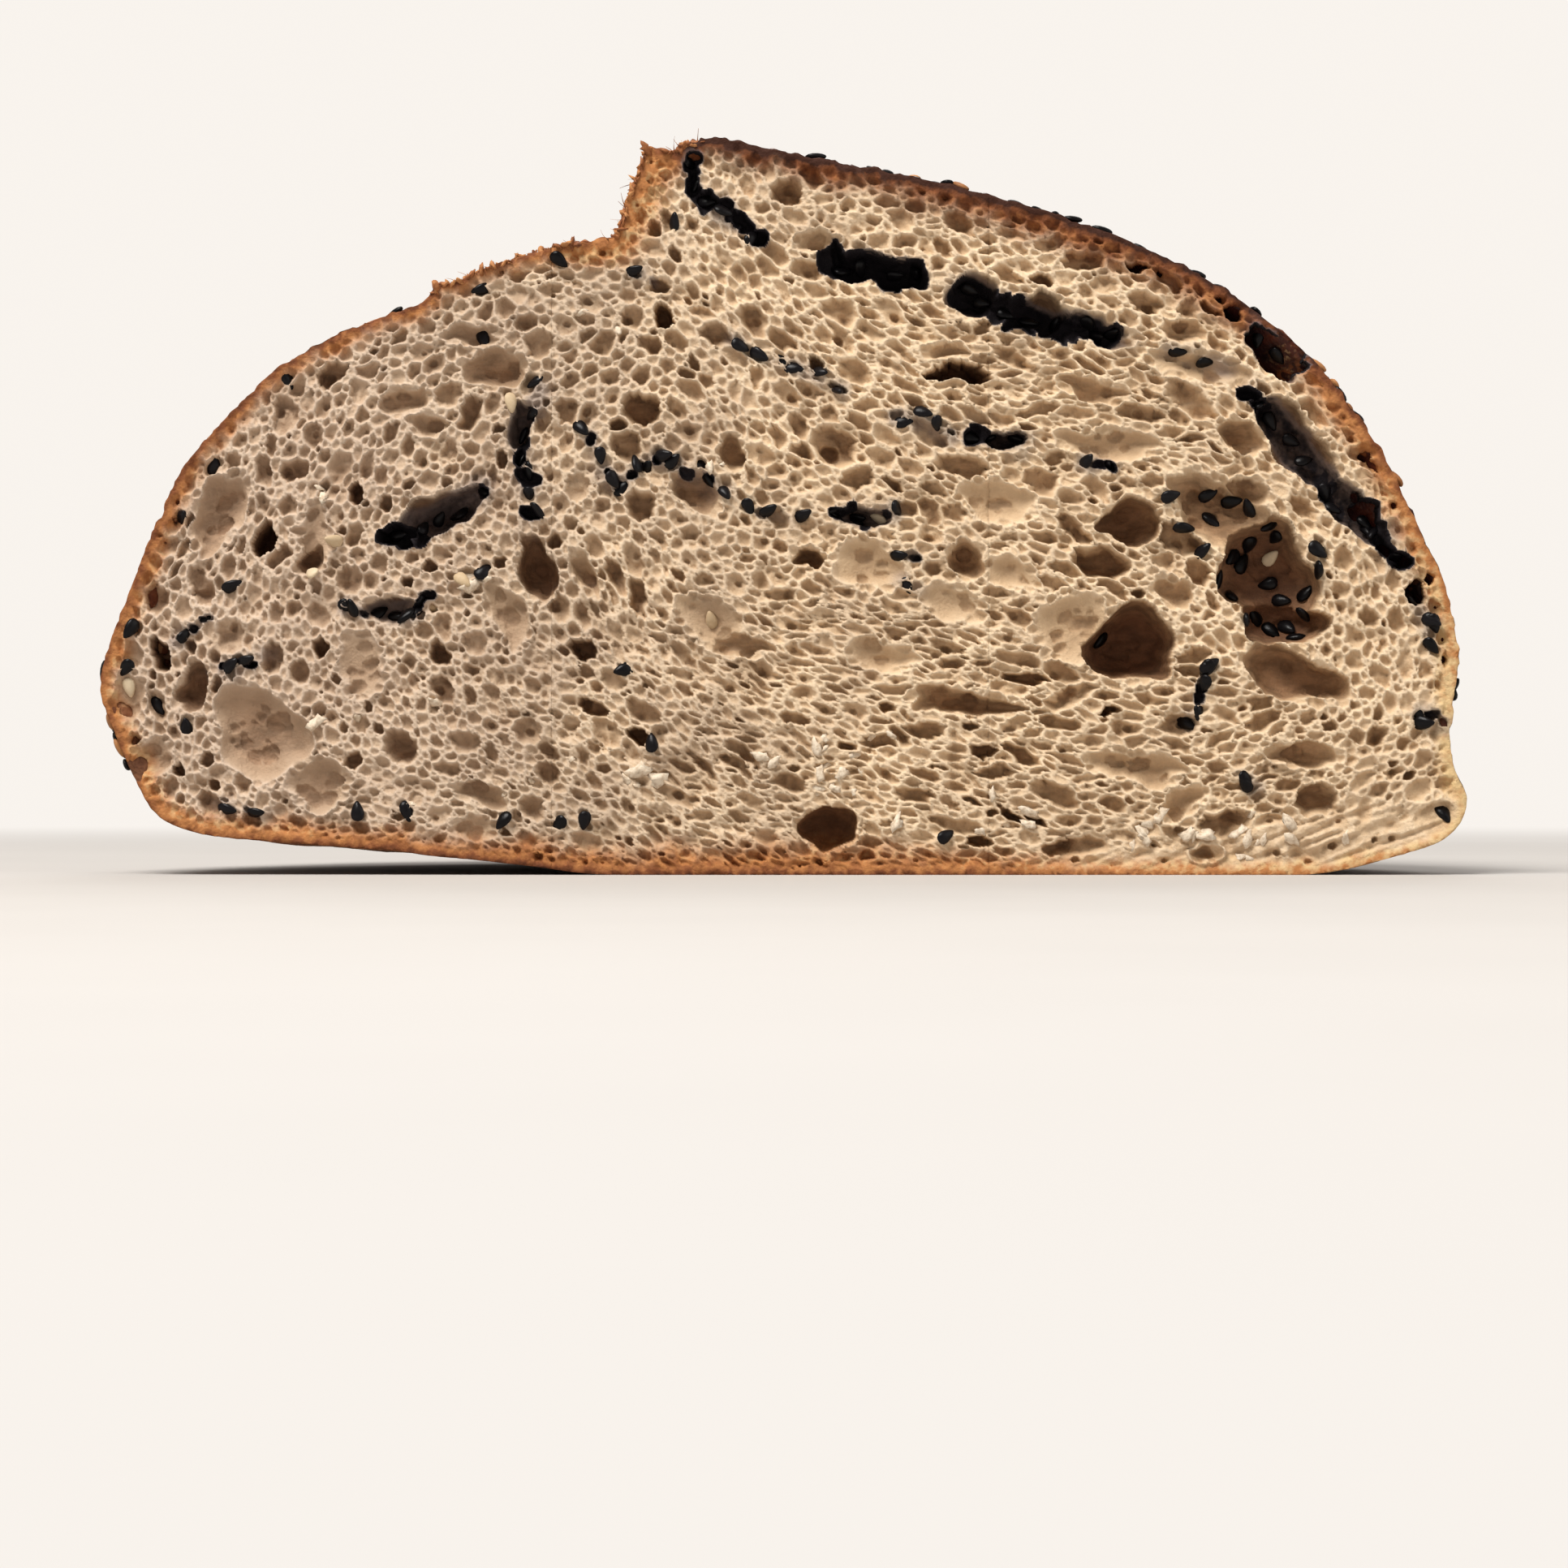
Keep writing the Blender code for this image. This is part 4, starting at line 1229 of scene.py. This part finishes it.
# Where that map is strongest, in the deep seam gaps, the crumb is painted near black as shade.
gap_shade_start = maths(tree, "SUBTRACT", stain_and_gap_shade, 0.25)
uneven_gap_shade = maths(tree, "MULTIPLY_ADD", clouds(tree, where, 1.8), 0.5, gap_shade_start)
body = mix(tree, spread(tree, uneven_gap_shade, 0.5, 0.85), body, (0.012, 0.009, 0.011))
feed(tree, shader.inputs["Base Color"], body)
shader.inputs["Roughness"].default_value = 0.8
feed(tree, shader.inputs["Normal"], bump(tree, fine, 0.35, 0.6))
give(crumb, *crumb_pieces)

# %% [markdown]
# The crust has three looks. The seeded side baked dark and slightly glossy, with paler tops on
# its blisters and a dust of flour. The side that opened in the oven is a matte red brown with
# honey-coloured ridges where it tore, and the base is a dull brown. Three painted textures would
# be one way. Here the masks that shaped the relief also choose the colours, so the finish fits
# the form everywhere.

# %% Crust
skin_finish, tree, shader, where = new_material("baked_skin", 0.15)
large = clouds(tree, where, 14.0)
medium = clouds(tree, where, 3.2, 3.0, 0.6)
fine = clouds(tree, where, 0.7, 2.0, 0.6)
specks = clouds(tree, where, 1.1, 0.0)
patchy = maths(tree, "MULTIPLY_ADD", medium, 0.45, maths(tree, "MULTIPLY", large, 0.55))

dark_side = ramp(tree, patchy, [
    (0.38, (0.006, 0.0025, 0.0035)), (0.47, (0.022, 0.0055, 0.0045)),
    (0.56, (0.058, 0.013, 0.007)), (0.68, (0.13, 0.035, 0.014)),
])
raised = spread(tree, value_of(tree, "relief"), 0.1, 0.7)
tops = maths(tree, "MULTIPLY", raised, spread(tree, specks, 0.5, 0.62))
dark_side = mix(tree, maths(tree, "MULTIPLY", tops, 0.7), dark_side, (0.24, 0.082, 0.028))
dusted = spread(tree, clouds(tree, where, 8.0), 0.58, 0.70)
flour = maths(tree, "MULTIPLY", dusted, spread(tree, fine, 0.5, 0.62))
dark_side = mix(tree, maths(tree, "MULTIPLY", flour, 0.5), dark_side, (0.42, 0.27, 0.14))
charred_share = maths(tree, "MULTIPLY", value_of(tree, "charred"), 0.85)
dark_side = mix(tree, charred_share, dark_side, (0.008, 0.003, 0.003))

pale_side = ramp(tree, patchy, [
    (0.36, (0.045, 0.011, 0.007)), (0.46, (0.115, 0.033, 0.016)),
    (0.56, (0.215, 0.074, 0.032)), (0.68, (0.36, 0.155, 0.066)),
])
pale_side = mix(tree, spread(tree, specks, 0.58, 0.70, 0.0, 0.7), pale_side, (0.47, 0.25, 0.12))


def drawn_out(tree, share):
    """Places where the arc counts for a share, so noise is drawn out across the split."""
    along = add_node(tree, "SeparateXYZ", [where]).outputs["Y"]
    across = maths(tree, "MULTIPLY", value_of(tree, "arc"), share * MM)
    waver = maths(tree, "MULTIPLY", medium, 0.004)
    return add_node(tree, "CombineXYZ", [across, along, waver]).outputs[0]


strand = clouds(tree, drawn_out(tree, 0.6), 1.3, 3.0, 0.6)
from_middle = maths(tree, "SUBTRACT", clouds(tree, drawn_out(tree, 0.25), 2.2), 0.5)
threads = spread(tree, maths(tree, "ABSOLUTE", from_middle), 0.004, 0.026, 1.0, 0.0)
strand_tone = maths(tree, "MULTIPLY_ADD", strand, 0.6, maths(tree, "MULTIPLY", patchy, 0.4))
torn_side = ramp(tree, strand_tone, [
    (0.39, (0.045, 0.008, 0.003)), (0.47, (0.100, 0.022, 0.007)),
    (0.55, (0.175, 0.048, 0.015)), (0.68, (0.34, 0.13, 0.048)),
])
ridges = maths(tree, "MULTIPLY_ADD", fine, 0.6, maths(tree, "SUBTRACT", value_of(tree, "web"), 0.3))
torn_side = mix(tree, spread(tree, ridges, 0.35, 0.95, 0.0, 0.62), torn_side, (0.42, 0.18, 0.075))
torn_side = mix(tree, maths(tree, "MULTIPLY", threads, 0.6), torn_side, (0.50, 0.235, 0.10))
torn_share = value_of(tree, "torn")
opened = mix(tree, torn_share, pale_side, torn_side)
opened = mix(tree, maths(tree, "MULTIPLY", value_of(tree, "flank"), 0.3), opened, (0.27, 0.085, 0.028))

base_side = ramp(tree, medium, [
    (0.35, (0.10, 0.040, 0.020)), (0.5, (0.20, 0.085, 0.042)), (0.65, (0.34, 0.175, 0.092)),
])
colour = mix(tree, value_of(tree, "pale"), base_side, opened)
seeded_share = value_of(tree, "seeded")
colour = mix(tree, seeded_share, colour, dark_side)
feed(tree, shader.inputs["Base Color"], colour)
gloss = spread(tree, seeded_share, 0.0, 1.0, 0.54, 0.22)
feed(tree, shader.inputs["Roughness"], maths(tree, "MULTIPLY_ADD", fine, 0.25, gloss))
rough_strands = maths(tree, "MULTIPLY_ADD", threads, 0.35, strand)
rough_strands = maths(tree, "MULTIPLY", rough_strands, torn_share)
rough_parts = maths(tree, "ADD", maths(tree, "MULTIPLY_ADD", fine, 0.35, medium), rough_strands)
feed(tree, shader.inputs["Normal"], bump(tree, rough_parts, 0.6, 0.8))
give(skin_finish, crust_seeded, crust_split)

# %% [markdown]
# A sesame hull is smooth with faint streaks, and no two seeds toasted alike. Each seed got a
# shade of its own when the copies were joined, and the ramp turns it into a colour. That costs
# one number a point, where a material for each seed would cost a thousand materials.

# %% Seeds
def seed_finish(name, dark, light, rough):
    """A hull between a dark and a light tone."""
    material, tree, shader, where = new_material(name, 0.14)
    own_shade = maths(tree, "MULTIPLY", value_of(tree, "shade"), 0.6)
    tone = maths(tree, "MULTIPLY_ADD", clouds(tree, where, 0.6, 3.0), 0.4, own_shade)
    feed(tree, shader.inputs["Base Color"], ramp(tree, tone, [(0.15, dark), (0.8, light)]))
    shader.inputs["Roughness"].default_value = rough
    feed(tree, shader.inputs["Normal"], bump(tree, clouds(tree, where, 0.25), 0.04, 0.6))
    return material


give(seed_finish("black_sesame_hull", (0.002, 0.0016, 0.0018), (0.007, 0.006, 0.007), 0.3), black_seeds)
give(seed_finish("brown_sesame_hull", (0.21, 0.078, 0.027), (0.50, 0.24, 0.095), 0.42), brown_seeds)
give(seed_finish("pale_sesame_hull", (0.48, 0.35, 0.21), (0.70, 0.58, 0.41), 0.5), white_seeds)

# %% [markdown]
# Loose crumb is the inside of the loaf with no crust, so it is the palest thing here. The frayed
# bits are crust torn so thin that it turned orange. Both are matte and uneven.

# %% Torn bits
lump_finish, tree, shader, where = new_material("loose_crumb", 0.3)
feed(tree, shader.inputs["Base Color"], ramp(tree, clouds(tree, where, 0.6), [
    (0.3, (0.54, 0.415, 0.29)), (0.6, (0.76, 0.65, 0.51)),
]))
shader.inputs["Roughness"].default_value = 0.85
feed(tree, shader.inputs["Normal"], bump(tree, clouds(tree, where, 0.3), 0.15, 0.8))
give(lump_finish, crumb_lumps)

fray_finish, tree, shader, where = new_material("frayed_crust", 0.3)
half_shade = maths(tree, "MULTIPLY", value_of(tree, "shade"), 0.5)
tone = maths(tree, "MULTIPLY_ADD", clouds(tree, where, 0.5), 0.5, half_shade)
feed(tree, shader.inputs["Base Color"], ramp(tree, tone, [
    (0.2, (0.12, 0.035, 0.012)), (0.5, (0.33, 0.12, 0.04)), (0.8, (0.52, 0.25, 0.095)),
]))
shader.inputs["Roughness"].default_value = 0.7
give(fray_finish, crust_fibres)

# %% [markdown]
# ## The picture
# The photograph looks at the cut square on and level, from about half a metre. The camera stands
# at that place. Its lens follows from how wide the picture is at the cut, so the loaf fills the
# frame as it does there.

# %% The camera
CUT_DISTANCE = 0.540
EYE_HEIGHT = 0.0133
FRAME_WIDTH = 0.2293
camera_data = bpy.data.cameras.new("camera")
camera_data.clip_start = 0.005
camera_data.lens = camera_data.sensor_width * CUT_DISTANCE / FRAME_WIDTH
camera = bpy.data.objects.new("camera", camera_data)
camera.location = (0.0, CUT_Y * MM - CUT_DISTANCE, EYE_HEIGHT)
camera.rotation_euler = (math.pi / 2, 0.0, 0.0)
bpy.context.scene.collection.objects.link(camera)
bpy.context.scene.camera = camera
print("lens:", round(camera_data.lens, 1), "mm")

# %% [markdown]
# The floor is like a roll of pale paper that turns up behind the loaf. A bent sheet could be
# modelled, but a flat disc whose material fades into the backdrop has no bend to be seen from
# the other sides, and it renders fast.

# %% The floor
BACKDROP = (0.945, 0.90, 0.85)
FLOOR_RADIUS = 6.0
FADE_FROM, FADE_TO = 0.16, 0.65
shape = bmesh.new()
bmesh.ops.create_circle(shape, cap_ends=True, segments=96, radius=FLOOR_RADIUS)
floor = new_object("floor", shape)
floor_finish, tree, shader, where = new_material("pale_floor", 0.5)
paper = ramp(tree, clouds(tree, where, 60.0), [(0.3, (0.50, 0.475, 0.45)), (0.7, (0.515, 0.49, 0.465))])
feed(tree, shader.inputs["Base Color"], paper)
shader.inputs["Roughness"].default_value = 0.85
away = add_node(tree, "VectorMath", [where], operation="LENGTH").outputs["Value"]
glow = add_node(tree, "Emission", [(*BACKDROP, 1.0), 1.0]).outputs[0]
faded = add_node(tree, "MixShader", [spread(tree, away, FADE_FROM, FADE_TO), shader.outputs[0], glow])
tree.links.new(faded.outputs[0], tree.nodes["Material Output"].inputs["Surface"])
give(floor_finish, floor)

# %% [markdown]
# The light is that of a room with one large window. A strong soft light high on the left shades
# the bubbles, a weak one on the right fills them, and one behind draws the edge of the crust.

# %% The lights
def area_light(name, place, size, power, colour):
    """A square light that faces the loaf."""
    data = bpy.data.lights.new(name, "AREA")
    data.size = size
    data.energy = power
    data.color = colour
    light = bpy.data.objects.new(name, data)
    light.location = place
    light.rotation_euler = (Vector((0, 0, 0.04)) - Vector(place)).to_track_quat("-Z", "Y").to_euler()
    bpy.context.scene.collection.objects.link(light)
    print(name, "light:", power, "watts from", size, "metres")


area_light("window", (-0.32, -0.52, 0.95), 0.5, 16.0, (1.0, 0.975, 0.94))
area_light("room", (0.95, -0.45, 0.55), 0.9, 3.0, (1.0, 0.97, 0.94))
area_light("back", (0.1, 0.95, 0.9), 0.9, 6.0, (1.0, 0.98, 0.96))

# %% [markdown]
# The world is the wall behind and the light from all round. A wall that is nearly white would
# also flood the bubbles with light, so the Light Path node lets the camera see it at full
# strength while the loaf gets a third of that.

# %% The backdrop
ROOM_LIGHT = 0.34
world = bpy.data.worlds.new("world")
world.use_nodes = True
tree = world.node_tree
seen = add_node(tree, "LightPath").outputs["Is Camera Ray"]
feed(tree, tree.nodes["Background"].inputs["Color"], (*BACKDROP, 1.0))
feed(tree, tree.nodes["Background"].inputs["Strength"], spread(tree, seen, 0.0, 1.0, ROOM_LIGHT, 1.0))
bpy.context.scene.world = world
bpy.context.scene.view_settings.view_transform = "Standard"
print("room light:", ROOM_LIGHT, "of the backdrop's")

# %% [markdown]
# ## Back to the CAD model
# A loaf has no moving part, so every piece rides on its one body. The crust stands in for the
# CAD half.

# %% Every piece on the one body
PIECE_SLOTS = [
    (crust_seeded, "crust"), (crust_split, "crust"), (crust_fibres, "crust"), (crumb_lumps, "crumb"),
    (black_seeds, "black_sesame"), (brown_seeds, "brown_sesame"), (white_seeds, "brown_sesame"),
]
for piece, slot in PIECE_SLOTS + [(piece, "crumb") for piece in crumb_pieces]:
    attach(piece, "root")
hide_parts("loaf_half")
